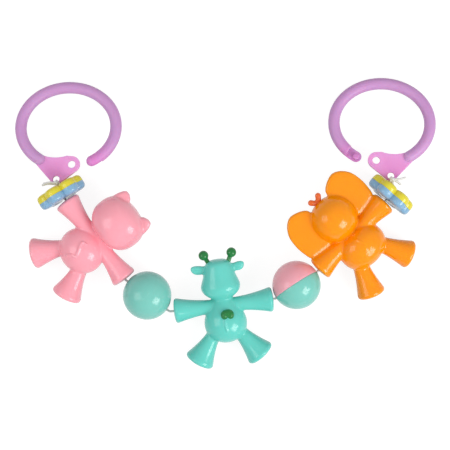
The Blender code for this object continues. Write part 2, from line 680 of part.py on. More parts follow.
def make_pig(matrix, tilt):
    parent = frame("pig_frame", matrix)
    torso_power = PIG_TORSO_POWER
    head_power = PIG_HEAD_POWER
    torso = turned("pig_torso", superellipse(PIG_TORSO_HALF_WIDTH, PIG_TORSO_HALF_HEIGHT, -PIG_TORSO_DROP,
                                             torso_power, BLOB_RINGS),
                   ROUND_SIDES, PIG_TORSO_HALF_DEPTH / PIG_TORSO_HALF_WIDTH)
    head = turned("pig_head", superellipse(PIG_HEAD_HALF_WIDTH, PIG_HEAD_HALF_HEIGHT, PIG_HEAD_RISE,
                                           head_power, BLOB_RINGS),
                  ROUND_SIDES, PIG_HEAD_HALF_DEPTH / PIG_HEAD_HALF_WIDTH)
    limbs = [arms_mesh("pig_arms", PIG_HAND_REACH, PIG_HAND_RADIUS, PIG_ARM_RADIUS)]
    for sign in (-1, 1):
        limbs.append(leg_mesh(f"pig_leg_{sign}", sign, PIG_HIP_X, PIG_HIP_DROP, PIG_FOOT_X, PIG_FOOT_DROP,
                              PIG_LEG_RADIUS, PIG_FOOT_RADIUS))
    snout = snout_mesh("pig_snout", PIG_SNOUT_RADIUS, PIG_HEAD_RISE - PIG_SNOUT_DROP, tilt,
                       PIG_HEAD_HALF_DEPTH * PIG_SNOUT_ROOT_SHARE)
    eyes = eye_meshes("pig", PIG_HEAD_HALF_WIDTH, PIG_HEAD_HALF_HEIGHT, PIG_HEAD_HALF_DEPTH, PIG_HEAD_RISE,
                      head_power)
    form = animal_form("pig", parent, limbs, torso, head, [pig_ear(-1), pig_ear(1)])

    def back(x, y):
        return dome_height(x, y, PIG_TORSO_HALF_WIDTH, PIG_TORSO_HALF_HEIGHT, PIG_TORSO_HALF_DEPTH,
                           -PIG_TORSO_DROP, torso_power)

    places = [(x * PIG_TAIL_HALF_HEIGHT, y * PIG_TAIL_HALF_HEIGHT - PIG_TORSO_DROP) for x, y in PIG_TAIL_SHARES]
    tail = relief_tube("pig_tail", smooth_places(places, RELIEF_STEPS), PIG_TAIL_RADIUS, back)
    cavities = animal_cavities("pig", (PIG_TORSO_HALF_WIDTH, PIG_TORSO_HALF_HEIGHT, PIG_TORSO_HALF_DEPTH,
                                       -PIG_TORSO_DROP),
                               (PIG_HEAD_HALF_WIDTH, PIG_HEAD_HALF_HEIGHT, PIG_HEAD_HALF_DEPTH, PIG_HEAD_RISE))
    nostrils = []
    for sign in (-1, 1):
        middle = (sign * PIG_SNOUT_RADIUS * NOSTRIL_SPACING_SHARE, PIG_HEAD_RISE - PIG_SNOUT_DROP)
        floor = -floor_depth(middle[1], tilt)
        nostrils.append(disc(f"pig_nostril_{sign}", PIG_NOSTRIL_RADIUS, floor - CUT_OVERRUN,
                             floor + PIG_NOSTRIL_RADIUS * NOSTRIL_DEPTH_SHARE, SMALL_SIDES, middle))
    cuts = [bore_mesh("pig_bore", PIG_HAND_REACH)] + nostrils
    shells("pig", parent, form, cavities, cuts, "pig_pink", [snout] + eyes, [tail])


def animal_cavities(name, torso, head):
    """The hollows of the torso and the head, a wall inside their outer forms."""
    meshes = []
    for part, (half_width, half_height, half_depth, middle) in (("torso", torso), ("head", head)):
        inner = [half_width - SHELL_WALL, half_height - SHELL_WALL, half_depth - SHELL_WALL]
        meshes.append(turned(f"{name}_{part}_cavity", superellipse(inner[0], inner[1], middle, 2, CAVITY_RINGS),
                             CAVITY_SIDES, inner[2] / inner[0]))
    return meshes


def giraffe_ear(sign):
    """A leaf-shaped ear lying in the seam plane, straight above and full below."""
    turns = [math.tau * k / SMALL_SIDES for k in range(SMALL_SIDES)]
    rings = []
    for out, lift, width in GIRAFFE_EAR_SHARES:
        x = sign * (GIRAFFE_EAR_X + GIRAFFE_EAR_LENGTH * out)
        rise = GIRAFFE_EAR_RISE + GIRAFFE_EAR_HALF_WIDTH * lift
        ring = [Vector((x, rise + GIRAFFE_EAR_HALF_WIDTH * width * math.sin(t),
                        GIRAFFE_EAR_THICKNESS / 2 * width * math.cos(t))) for t in turns]
        rings.append(ring if width else ring[:1])
    return loft(f"giraffe_ear_{sign}", rings)


def make_horn(parent, sign, name):
    """A ball on a stem whose foot is held in the top of the head, between the shells."""
    foot = Vector((sign * HORN_FOOT_X, HORN_FOOT_RISE, 0))
    top = Vector((sign * HORN_X, HORN_RISE, 0))
    way = top - foot
    peg_depth = HORN_STEM_RADIUS * HORN_PEG_SHARE
    stem = turned(name, [(-peg_depth, HORN_STEM_RADIUS), (way.length, HORN_STEM_RADIUS)], LIMB_SIDES)
    stem.transform(aimed(way, foot))
    horn = add(name, stem, parent, "dark_green")
    ball = ball_mesh(name + "_ball", HORN_BALL_RADIUS, top, LIMB_SIDES, TUFT_RINGS)
    boolean(horn, add(name + "_ball", ball, parent), "UNION")
    horn.data = settled(horn)
    horn.modifiers.clear()
    round_off(horn)
    bore_radius = HORN_STEM_RADIUS + SEAT_GAP
    socket = turned(name + "_socket", [(-peg_depth - SEAT_GAP, bore_radius), (way.length, bore_radius)],
                    LIMB_SIDES)
    socket.transform(aimed(way, foot))
    return socket


def make_tuft(parent, back):
    """The tail tuft: a low two-lobed dome seated on the back by a peg."""
    middle = Vector((TUFT_HALF_WIDTH * TUFT_SIDE_SHARE, -TUFT_DROP, back(0, -TUFT_DROP)))
    profile = superellipse(TUFT_HALF_WIDTH, TUFT_HALF_HEIGHT, 0, TUFT_POWER, TUFT_RINGS)
    dome = turned("giraffe_tail_tuft", profile, LIMB_SIDES, TUFT_HEIGHT / TUFT_HALF_WIDTH)
    dome.transform(Matrix.Translation(middle))
    tuft = add("giraffe_tail_tuft", dome, parent, "dark_green")
    notch = disc("giraffe_tuft_notch", TUFT_NOTCH_RADIUS, middle.z - CUT_OVERRUN, middle.z + TUFT_HEIGHT
                 + CUT_OVERRUN, LIMB_SIDES, (middle.x + TUFT_NOTCH_RADIUS / 2, middle.y - TUFT_HALF_HEIGHT))
    boolean(tuft, add("giraffe_tuft_notch", notch, parent), "DIFFERENCE")
    return tuft, middle


def make_giraffe(matrix, tilt):
    parent = frame("giraffe_frame", matrix)
    torso_profile = shared_profile(TORSO_PEAR_SHARES, -GIRAFFE_TORSO_BOTTOM, GIRAFFE_NECK_TOP,
                                   GIRAFFE_TORSO_HALF_WIDTH)
    depth_share = GIRAFFE_TORSO_HALF_DEPTH / GIRAFFE_TORSO_HALF_WIDTH
    torso = turned("giraffe_torso", torso_profile, ROUND_SIDES, depth_share)
    head_profile = shared_profile(GIRAFFE_HEAD_SHARES, GIRAFFE_CHIN_RISE, GIRAFFE_CROWN_RISE,
                                  GIRAFFE_MUZZLE_HALF_WIDTH)
    head = turned("giraffe_head", head_profile, ROUND_SIDES,
                  GIRAFFE_HEAD_HALF_DEPTH / GIRAFFE_MUZZLE_HALF_WIDTH)
    limbs = [arms_mesh("giraffe_arms", GIRAFFE_HAND_REACH, GIRAFFE_HAND_RADIUS, GIRAFFE_ARM_RADIUS)]
    for sign in (-1, 1):
        limbs.append(leg_mesh(f"giraffe_leg_{sign}", sign, GIRAFFE_HIP_X, GIRAFFE_HIP_DROP, GIRAFFE_FOOT_X,
                              GIRAFFE_FOOT_DROP, GIRAFFE_LEG_RADIUS, GIRAFFE_FOOT_RADIUS))
    form = animal_form("giraffe", parent, limbs, torso, head, [giraffe_ear(-1), giraffe_ear(1)])

    def back(x, y):
        share = (y + GIRAFFE_TORSO_BOTTOM) / (GIRAFFE_NECK_TOP + GIRAFFE_TORSO_BOTTOM)
        pairs = list(zip(TORSO_PEAR_SHARES, TORSO_PEAR_SHARES[1:]))
        for (low, low_width), (high, high_width) in pairs:
            if low <= share <= high:
                width = low_width + (high_width - low_width) * (share - low) / (high - low)
        across = max(0, width ** 2 - (x / GIRAFFE_TORSO_HALF_WIDTH) ** 2)
        return GIRAFFE_TORSO_HALF_DEPTH * math.sqrt(across)

    sockets = [make_horn(parent, -1, "giraffe_horn_left"), make_horn(parent, 1, "giraffe_horn_right")]
    muzzle = snout_mesh("giraffe_muzzle", GIRAFFE_MUZZLE_RADIUS, GIRAFFE_MUZZLE_RISE, tilt,
                        GIRAFFE_HEAD_HALF_DEPTH * GIRAFFE_MUZZLE_ROOT_SHARE)
    head_half = (GIRAFFE_CROWN_RISE - GIRAFFE_CHIN_RISE) / 2
    eyes = []
    for sign in (-1, 1):
        centre = Vector((sign * GIRAFFE_MUZZLE_HALF_WIDTH * EYE_HALF_SPACING_SHARE,
                         GIRAFFE_CHIN_RISE + head_half * GIRAFFE_EYE_RISE_SHARE,
                         EYE_RADIUS - EYE_PROUD - GIRAFFE_HEAD_HALF_DEPTH * GIRAFFE_EYE_DEPTH_SHARE))
        eyes.append(ball_mesh(f"giraffe_eye_{sign}", EYE_RADIUS, centre))
    places = [(x * GIRAFFE_TAIL_LENGTH, -TUFT_DROP - y * GIRAFFE_TAIL_LENGTH) for x, y in GIRAFFE_TAIL_SHARES]
    tail = relief_tube("giraffe_tail", smooth_places(places, RELIEF_STEPS), GIRAFFE_TAIL_RADIUS, back)
    tuft, seat = make_tuft(parent, back)
    wide = (SEAT_GAP + GIRAFFE_TORSO_HALF_WIDTH) / GIRAFFE_TORSO_HALF_WIDTH
    cover = torso.copy()
    cover.transform(Matrix.Diagonal((wide, 1.0, wide, 1.0)))
    boolean(tuft, add("giraffe_tuft_seat", cover, parent), "DIFFERENCE")
    peg_low = seat.z - SHELL_WALL
    peg = disc("giraffe_tuft_peg", TUFT_PEG_RADIUS, peg_low, seat.z + TUFT_HEIGHT / 2, SMALL_SIDES,
               (seat.x, seat.y + TUFT_HALF_HEIGHT / 3))
    boolean(tuft, add("giraffe_tuft_peg", peg, parent), "UNION")
    tuft.data = settled(tuft)
    tuft.modifiers.clear()
    round_off(tuft)
    peg_hole = disc("giraffe_tuft_peg_hole", TUFT_PEG_RADIUS + SEAT_GAP, peg_low - SEAT_GAP,
                    seat.z + TUFT_HEIGHT + CUT_OVERRUN, SMALL_SIDES, (seat.x, seat.y + TUFT_HALF_HEIGHT / 3))
    torso_height, torso_middle = GIRAFFE_TORSO_HOLLOW_SHARES
    head_width, head_height, head_depth, head_middle = GIRAFFE_HEAD_HOLLOW_SHARES
    cavities = animal_cavities("giraffe", (GIRAFFE_TORSO_HALF_WIDTH, GIRAFFE_TORSO_BOTTOM * torso_height,
                                           GIRAFFE_TORSO_HALF_DEPTH, -GIRAFFE_TORSO_BOTTOM * torso_middle),
                               (GIRAFFE_MUZZLE_HALF_WIDTH * head_width, head_half * head_height,
                                GIRAFFE_HEAD_HALF_DEPTH * head_depth,
                                GIRAFFE_CHIN_RISE + head_half * head_middle))
    cuts = [bore_mesh("giraffe_bore", GIRAFFE_HAND_REACH), peg_hole] + sockets
    shells("giraffe", parent, form, cavities, cuts, "giraffe_mint", [muzzle] + eyes, [tail])


def elephant_ear(sign):
    """A big thin rounded ear in the seam plane."""
    rings = []
    for level, share in ELEPHANT_EAR_LEVEL_SHARES:
        rings.append([Vector((sign * (ELEPHANT_EAR_X + ELEPHANT_EAR_HALF_WIDTH * share * out),
                              ELEPHANT_EAR_RISE + ELEPHANT_EAR_HALF_HEIGHT * share * up,
                              level * ELEPHANT_EAR_THICKNESS / 2))
                      for out, up in smooth_places(ELEPHANT_EAR_EDGE_SHARES, EAR_EDGE_STEPS)])
    return loft(f"elephant_ear_{sign}", rings)


def trunk_mesh(tilt):
    """A tapering trunk that leaves the middle of the face and lies along the floor towards the chest."""
    points = []
    radii = []
    for k in range(TRUNK_STEPS + 1):
        share = k / TRUNK_STEPS
        radius = TRUNK_ROOT_RADIUS + (TRUNK_TIP_RADIUS - TRUNK_ROOT_RADIUS) * share
        y = ELEPHANT_HEAD_RISE - TRUNK_LENGTH * math.sin(share * math.pi / 2)
        low = radius - floor_depth(y - radius, tilt)
        root = -ELEPHANT_HEAD_HALF_DEPTH * TRUNK_ROOT_SHARE
        points.append(Vector((0, y, root + (low - root) * min(1, share / TRUNK_DROP_SHARE))))
        radii.append(radius)
    return tube("elephant_trunk", points, radii, LIMB_SIDES)


def make_hair(parent):
    """The hair tuft: two round-ended locks in a V on one peg in the top of the head."""
    crown = ELEPHANT_HEAD_RISE + ELEPHANT_HEAD_HALF_HEIGHT
    low = crown - HAIR_PEG_DEPTH
    peg = turned("elephant_hair", [(low, HAIR_PEG_RADIUS), (crown + HAIR_LOBE_RADIUS, HAIR_PEG_RADIUS)],
                 LIMB_SIDES)
    hair = add("elephant_hair", peg, parent, "dark_orange")
    for sign in (-1, 1):
        foot = Vector((sign * HAIR_LOBE_X * HAIR_FOOT_SHARE, crown + HAIR_LOBE_RADIUS, 0))
        top = Vector((sign * HAIR_LOBE_X, HAIR_TOP_RISE - HAIR_LOBE_RADIUS, 0))
        radii = [HAIR_STEM_RADIUS, (HAIR_STEM_RADIUS + HAIR_LOBE_RADIUS) / 2, HAIR_LOBE_RADIUS]
        lock = tube(f"elephant_lock_{sign}", [foot, (foot + top) / 2, top], radii, SMALL_SIDES)
        boolean(hair, add(f"elephant_lock_{sign}", lock, parent), "UNION")
    hair.data = settled(hair)
    hair.modifiers.clear()
    round_off(hair)
    return turned("elephant_hair_socket", [(low - SEAT_GAP, HAIR_PEG_RADIUS + SEAT_GAP),
                                           (crown + CUT_OVERRUN, HAIR_PEG_RADIUS + SEAT_GAP)], LIMB_SIDES)


def make_elephant(matrix, tilt):
    parent = frame("elephant_frame", matrix)
    torso_power = ELEPHANT_TORSO_POWER
    head_power = ELEPHANT_HEAD_POWER
    torso = turned("elephant_torso", superellipse(ELEPHANT_TORSO_HALF_WIDTH, ELEPHANT_TORSO_HALF_HEIGHT,
                                                  -ELEPHANT_TORSO_DROP, torso_power, BLOB_RINGS),
                   ROUND_SIDES, ELEPHANT_TORSO_HALF_DEPTH / ELEPHANT_TORSO_HALF_WIDTH)
    head = turned("elephant_head", superellipse(ELEPHANT_HEAD_HALF_WIDTH, ELEPHANT_HEAD_HALF_HEIGHT,
                                                ELEPHANT_HEAD_RISE, head_power, BLOB_RINGS),
                  ROUND_SIDES, ELEPHANT_HEAD_HALF_DEPTH / ELEPHANT_HEAD_HALF_WIDTH)
    limbs = [arms_mesh("elephant_arms", ELEPHANT_HAND_REACH, ELEPHANT_HAND_RADIUS, ELEPHANT_ARM_RADIUS)]
    for sign in (-1, 1):
        limbs.append(leg_mesh(f"elephant_leg_{sign}", sign, ELEPHANT_HIP_X, ELEPHANT_HIP_DROP, ELEPHANT_FOOT_X,
                              ELEPHANT_FOOT_DROP, ELEPHANT_LEG_RADIUS, ELEPHANT_FOOT_RADIUS))
    form = animal_form("elephant", parent, limbs, torso, head, [elephant_ear(-1), elephant_ear(1)])

    def back(x, y):
        return dome_height(x, y, ELEPHANT_TORSO_HALF_WIDTH, ELEPHANT_TORSO_HALF_HEIGHT,
                           ELEPHANT_TORSO_HALF_DEPTH, -ELEPHANT_TORSO_DROP, torso_power)

    places = [(x * ELEPHANT_TAIL_LENGTH, y * ELEPHANT_TAIL_LENGTH - ELEPHANT_TORSO_DROP)
              for x, y in ELEPHANT_TAIL_SHARES]
    tail = relief_tube("elephant_tail", smooth_places(places, RELIEF_STEPS), ELEPHANT_TAIL_RADIUS, back)
    eyes = eye_meshes("elephant", ELEPHANT_HEAD_HALF_WIDTH, ELEPHANT_HEAD_HALF_HEIGHT,
                      ELEPHANT_HEAD_HALF_DEPTH, ELEPHANT_HEAD_RISE, head_power)
    cavities = animal_cavities("elephant", (ELEPHANT_TORSO_HALF_WIDTH, ELEPHANT_TORSO_HALF_HEIGHT,
                                            ELEPHANT_TORSO_HALF_DEPTH, -ELEPHANT_TORSO_DROP),
                               (ELEPHANT_HEAD_HALF_WIDTH, ELEPHANT_HEAD_HALF_HEIGHT, ELEPHANT_HEAD_HALF_DEPTH,
                                ELEPHANT_HEAD_RISE))
    cuts = [bore_mesh("elephant_bore", ELEPHANT_HAND_REACH), make_hair(parent)]
    shells("elephant", parent, form, cavities, cuts, "orange", [trunk_mesh(tilt)] + eyes, [tail])


def make_ball(side, matrix, roll, colours):
    """Two half shells that meet on a seam through the cord, with loose pellets inside."""
    parent = frame(f"ball_{side}_frame", matrix)
    turned_parent = frame(f"ball_{side}_seam_frame", matrix @ Matrix.Rotation(roll, 4, "X"))
    to_x = aimed((1, 0, 0))
    inner = turned(f"ball_{side}_inner", superellipse(BALL_RADIUS - BALL_WALL, BALL_RADIUS - BALL_WALL, 0, 2,
                                                      BALL_SIDES // 3), 2 * BALL_SIDES // 3)
    inner.transform(to_x)
    inner_guide = add(f"ball_{side}_inner", inner, turned_parent)
    bore = add(f"ball_{side}_bore", bore_mesh(f"ball_{side}_bore", BALL_RADIUS), turned_parent)
    reach = BALL_RADIUS + CUT_OVERRUN
    for colour, sign in zip(colours, (1, -1)):
        outer = turned(f"ball_{side}_{colour}_half",
                       superellipse(BALL_RADIUS, BALL_RADIUS, 0, 2, BALL_SIDES // 2), BALL_SIDES)
        outer.transform(to_x)
        half = add(f"ball_{side}_{colour}_half", outer, turned_parent, colour)
        low, high = sorted((sign * SEAM_GAP / 2, sign * reach))
        keep = block(f"ball_{side}_{colour}_keep", (-reach, -reach, low), (reach, reach, high))
        boolean(half, add(f"ball_{side}_{colour}_keep", keep, turned_parent), "INTERSECT")
        boolean(half, inner_guide, "DIFFERENCE")
        boolean(half, bore, "DIFFERENCE")
        half.data = settled(half)
        half.modifiers.clear()
        round_off(half)


def make_pellets(side, matrix):
    """Loose pellets lying in the bottom of a ball."""
    parent = frame(f"pellets_{side}_frame", matrix)
    lie = BALL_RADIUS - BALL_WALL - SEAT_GAP - PELLET_RADIUS
    for k in range(PELLET_COUNT):
        x = (k - (PELLET_COUNT - 1) / 2) * PELLET_SPACING
        spot = Vector((x, 0, -math.sqrt(lie ** 2 - x ** 2)))
        mesh = ball_mesh(f"pellet_{side}_{k + 1}", PELLET_RADIUS, spot)
        round_off(add(f"pellet_{side}_{k + 1}", mesh, parent, "cord"))


def petal_outline(inset=0.0):
    """The edge of a flower disc, in its y and z: round petals on a circle; a valley points straight up."""
    steps = PETAL_COUNT * PETAL_STEPS
    outline = []
    for k in range(steps):
        turn = math.tau * k / steps
        off = (k + PETAL_STEPS // 2) % PETAL_STEPS - PETAL_STEPS // 2
        lean = math.tau * off / steps
        across = PETAL_CENTRE_RADIUS * math.sin(lean)
        radius = PETAL_CENTRE_RADIUS * math.cos(lean) + math.sqrt(PETAL_RADIUS ** 2 - across ** 2) - inset
        outline.append((radius * math.cos(turn), radius * math.sin(turn)))
    return outline


def make_flower(side, sign, matrix):
    """A flower disc in two halves: blue towards the animal, yellow and dished towards the knot."""
    parent = frame(f"flower_{side}_frame", matrix)
    bore = add(f"flower_{side}_bore", bore_mesh(f"flower_{side}_bore", FLOWER_HALF_THICKNESS), parent)
    dish_floor = sign * (FLOWER_HALF_THICKNESS - FLOWER_DISH_DEPTH)
    dish_mouth = sign * (FLOWER_HALF_THICKNESS + CUT_OVERRUN)
    hollow = turned(f"flower_{side}_dish",
                    [(dish_floor, FLOWER_DISH_RADIUS), (dish_mouth, FLOWER_DISH_RADIUS)], ROUND_SIDES)
    hollow.transform(aimed((1, 0, 0)))
    dish = add(f"flower_{side}_dish", hollow, parent)
    edge = FLOWER_EDGE_ROUND
    for colour, way in (("yellow", sign), ("blue", -sign)):
        levels = [(SEAM_GAP / 2, 0.0)]
        levels += [(FLOWER_HALF_THICKNESS - edge * short, edge * inset) for short, inset in FLOWER_EDGE_SHARES]
        rings = [[Vector((way * x, y, z)) for y, z in petal_outline(inset)] for x, inset in levels]
        half = add(f"flower_{side}_{colour}", loft(f"flower_{side}_{colour}", rings), parent, colour)
        boolean(half, bore, "DIFFERENCE")
        boolean(half, dish, "DIFFERENCE")
        half.data = settled(half)
        half.modifiers.clear()
        round_off(half)


def tangent_outline(circles, arc_steps):
    """The outline of a sheet stretched round circles given counter-clockwise as (x, y, radius)."""
    spans = []
    count = len(circles)
    for k, (x, y, radius) in enumerate(circles):
        next_x, next_y, next_radius = circles[(k + 1) % count]
        way = math.atan2(next_y - y, next_x - x)
        lean = math.acos((radius - next_radius) / math.hypot(next_x - x, next_y - y))
        spans.append(way - lean)
    outline = []
    for k, (x, y, radius) in enumerate(circles):
        start, end = spans[k - 1], spans[k]
        while end < start:
            end += math.tau
        for step in range(arc_steps + 1):
            turn = start + (end - start) * step / arc_steps
            outline.append((x + radius * math.cos(turn), y + radius * math.sin(turn)))
    return outline


def ring_point(turn):
    return Vector((RING_HALF_WIDTH * math.cos(turn), RING_HALF_HEIGHT * math.sin(turn), 0))


def hook_mesh(parent, name):
    """The clip hook: ring bar, plate with its two holes, boss, and the flat free end with its stud."""
    half = PLATE_THICKNESS / 2
    root = ring_point(RING_START_ANGLE)
    tip_radius = CORD_HOLE_RADIUS + CORD_BRIDGE
    circles = [(CORD_HOLE_X, CORD_HOLE_Y, tip_radius), (SNAP_HOLE_X, SNAP_HOLE_Y, LOBE_RADIUS),
               (root.x, root.y, RING_BAR_RADIUS)]
    outline = tangent_outline(circles, PLATE_ARC_STEPS)
    plate = add(name + "_plate", loft(name, [[Vector((x, y, z)) for x, y in outline] for z in (-half, half)]),
                parent)
    chord = (Vector((SNAP_HOLE_X, SNAP_HOLE_Y + LOBE_RADIUS)) + Vector((root.x, root.y + RING_BAR_RADIUS))) / 2
    bite = disc(name + "_bite", PLATE_BITE_RADIUS, -PLATE_THICKNESS, PLATE_THICKNESS, BITE_SIDES,
                (chord.x, chord.y - PLATE_BITE_DEPTH + PLATE_BITE_RADIUS))
    boolean(plate, add(name + "_bite", bite, parent), "DIFFERENCE")
    boss = disc(name + "_boss", BOSS_RADIUS, -half - BOSS_HEIGHT, half + BOSS_HEIGHT, BOSS_SIDES,
                (SNAP_HOLE_X, SNAP_HOLE_Y))
    boolean(plate, add(name + "_boss", boss, parent), "UNION")
    for hole, radius, x, y in (("cord", CORD_HOLE_RADIUS, CORD_HOLE_X, CORD_HOLE_Y),
                               ("snap", SNAP_HOLE_RADIUS, SNAP_HOLE_X, SNAP_HOLE_Y)):
        cut = disc(f"{name}_{hole}_hole", radius, -PLATE_THICKNESS, PLATE_THICKNESS, HOLE_SIDES, (x, y))
        boolean(plate, add(f"{name}_{hole}_hole", cut, parent), "DIFFERENCE")
    plate.data = settled(plate)
    plate.modifiers.clear()
    edge = plate.modifiers.new("edge", "BEVEL")
    edge.width = PLATE_EDGE_ROUND
    edge.segments = 1
    edge.limit_method = "ANGLE"
    edge.angle_limit = PLATE_EDGE_ANGLE
    plate.data = settled(plate)
    plate.modifiers.clear()

    sweep = RING_START_ANGLE - RING_END_ANGLE
    centres = [ring_point(RING_START_ANGLE - sweep * k / RING_STEPS) for k in range(RING_STEPS + 1)]
    bar = tube(name + "_bar", centres, RING_BAR_RADIUS, RING_SIDES)
    hook = add(name, bar, parent, "lilac")
    end = ring_point(RING_END_ANGLE)
    back = (ring_point(RING_END_ANGLE + math.radians(1)) - end).normalized()
    flat = half + STUD_FLAT_CLEARANCE
    cut = block(name + "_flat", (-STUD_FLAT_LENGTH, -RING_BAR_RADIUS - CUT_OVERRUN, -2 * RING_BAR_RADIUS),
                (RING_BAR_RADIUS + CUT_OVERRUN, RING_BAR_RADIUS + CUT_OVERRUN, flat))
    cut.transform(Matrix.Translation(end) @ Matrix.Rotation(math.atan2(-back.y, -back.x), 4, "Z"))
    boolean(hook, add(name + "_flat", cut, parent), "DIFFERENCE")
    stud = disc(name + "_stud", SNAP_HOLE_RADIUS - STUD_CLEARANCE, -flat, flat + PLATE_THICKNESS / 2,
                STUD_SIDES, (end.x, end.y))
    boolean(hook, add(name + "_stud", stud, parent), "UNION")
    boolean(hook, plate, "UNION")
    made = settled(hook)
    hook.modifiers.clear()
    hook.data = made
    round_off(hook)
    return hook


def hook_tilt(hole_to_loop, turned_over):
    """The fold at which the far side of the ring lies on the floor."""
    flip = -1 if turned_over else 1
    axis_to_hole = CORD_HOLE_RADIUS + CORD_BRIDGE / 2
    inward = -hole_to_loop
    middle = Vector((-CORD_HOLE_X * flip, -CORD_HOLE_Y, 0))
    furthest = axis_to_hole + middle.dot(inward) + math.hypot(RING_HALF_WIDTH * inward.x,
                                                              RING_HALF_HEIGHT * inward.y)
    return math.asin((AXIS_HEIGHT - RING_BAR_RADIUS - FLOOR_GAP) / furthest)


def make_hook(side, turned_over, hook_turn, spots, knot_way):
    """A hook on its loop of cord, tilted until its far side lies on the floor."""
    to_loop = -knot_way
    tilt = hook_tilt(to_loop, turned_over)
    fold_axis = Vector((0, 0, 1)).cross(to_loop)
    fold = Matrix.Rotation(-tilt, 4, fold_axis)
    flip = Matrix.Rotation(math.pi, 4, "Y") if turned_over else Matrix.Identity(4)
    flip = Matrix.Rotation(hook_turn, 4, "Z") @ flip
    hole = flip @ Vector((CORD_HOLE_X, CORD_HOLE_Y, 0))
    upright = Matrix.Translation(spots["hole"] - spots["loop"] - hole) @ flip
    along = math.atan2(fold_axis.y, fold_axis.x)
    axis = frame(f"hook_{side}_fold_axis", place(spots["loop"], along))
    lie = fold @ upright
    parent = frame(f"hook_{side}_frame", Matrix.Translation(spots["loop"]) @ lie)
    hook = hook_mesh(parent, f"hook_{side}")
    hook.parent = axis
    hook.matrix_basis = Matrix.Rotation(-along, 4, "Z") @ lie


def make_knot(side, spots, knot_way, stem, tail_sign, tail_shares):
    """The loop round the hook's plate, its wound knot on top, its stem and the two cut tails."""
    to_pivot = -knot_way
    parent = frame(f"knot_{side}_frame", place(spots["knot_pivot"], math.atan2(to_pivot.y, to_pivot.x)))
    name = f"knot_{side}"
    steps = [math.tau * k / LOOP_STEPS for k in range(LOOP_STEPS)]
    loop = [Vector((LOOP_RADIUS * math.cos(t), 0, LOOP_RADIUS * math.sin(t))) for t in steps]
    knot = add(name, tube(name, loop, CORD_RADIUS, SMALL_SIDES, closed=True), parent, "cord")
    lump = Vector((LOOP_RADIUS * math.cos(KNOT_LIFT_ANGLE), 0, LOOP_RADIUS * math.sin(KNOT_LIFT_ANGLE)))
    lump += Vector((math.cos(KNOT_LIFT_ANGLE), 0, math.sin(KNOT_LIFT_ANGLE))) * CORD_RADIUS
    length = KNOT_WRAP_COUNT * 2 * CORD_RADIUS
    steps = KNOT_WRAP_COUNT * KNOT_WRAP_STEPS
    humps = [(-length / 2, 0)]
    for k in range(steps + 1):
        swell = abs(math.sin(math.pi * KNOT_WRAP_COUNT * k / steps)) ** KNOT_SWELL_POWER
        humps.append((length * (k / steps - 0.5), KNOT_WRAP_RADIUS + CORD_RADIUS * (swell - KNOT_VALLEY_SHARE)))
    humps.append((length / 2, 0))
    wraps = turned(f"{name}_wraps", humps, SMALL_SIDES)
    wraps.transform(Matrix.Translation(lump))
    boolean(knot, add(f"{name}_wraps", wraps, parent), "UNION")
    neck = [Vector((LOOP_RADIUS, 0, 0)), Vector((LOOP_RADIUS + stem, 0, 0))]
    throat = add(f"{name}_neck", tube(f"{name}_neck", neck, CORD_RADIUS, KNOT_NECK_SIDES), parent)
    boolean(knot, throat, "UNION")
    for k, (back_share, side_share, height_share) in enumerate(tail_shares):
        points = []
        for step in range(TAIL_STEPS + 1):
            share = step / TAIL_STEPS
            points.append(lump + Vector((-TAIL_LENGTH * back_share * share,
                                         tail_sign * TAIL_LENGTH * side_share * share,
                                         CORD_RADIUS * height_share + TAIL_RISE * math.sin(share * math.pi))))
        tail = tube(f"{name}_tail_{k}", points, CORD_RADIUS, TAIL_SIDES)
        boolean(knot, add(f"{name}_tail_{k}", tail, parent), "UNION")
    knot.data = settled(knot)
    knot.modifiers.clear()
    knot.data.transform(Matrix.Translation(Vector((-LOOP_RADIUS - CORD_RADIUS - CORD_END_GAP - stem, 0, 0))))
    round_off(knot)


def make_side(side, sign, gaps, headings, reach, animal, stem, hook_turn, turned_over, roll, flower_roll,
              ball_colours):
    """One side of the chain: ball, animal, flower, knot and hook, with their stretches of cord."""
    spots = lay_out_side(sign, gaps, headings, reach, stem)
    ball_heading, animal_heading, flower_heading, knot_heading = headings
    knot_way = ahead(knot_heading) * sign
    inner_gap, outer_gap = gaps
    lengths = {"ball_" + side: (spots["giraffe_pivot"], ball_heading,
                                2 * BALL_RADIUS + (inner_gap + outer_gap) / 2),
               animal: (spots["animal_pivot"], animal_heading,
                        2 * reach + (outer_gap + FLOWER_HAND_GAP) / 2),
               "flower_" + side: (spots["flower_pivot"], flower_heading,
                                  2 * FLOWER_HALF_THICKNESS - FLOWER_DISH_DEPTH + FLOWER_HAND_GAP / 2
                                  + FLOWER_KNOT_GAP)}
    for name, (pivot, heading, length) in lengths.items():
        cord_stretch(f"cord_{name}", pivot, heading, *sorted((0, sign * length)))
    ball_place = place(spots["ball"], ball_heading)
    make_ball(side, ball_place, roll, ball_colours)
    make_pellets(side, ball_place)
    make_flower(side, sign, place(spots["flower"], flower_heading, flower_roll))
    make_knot(side, spots, knot_way, stem, sign, LEFT_TAIL_SHARES if sign < 0 else RIGHT_TAIL_SHARES)
    make_hook(side, turned_over, hook_turn, spots, knot_way)
    return spots


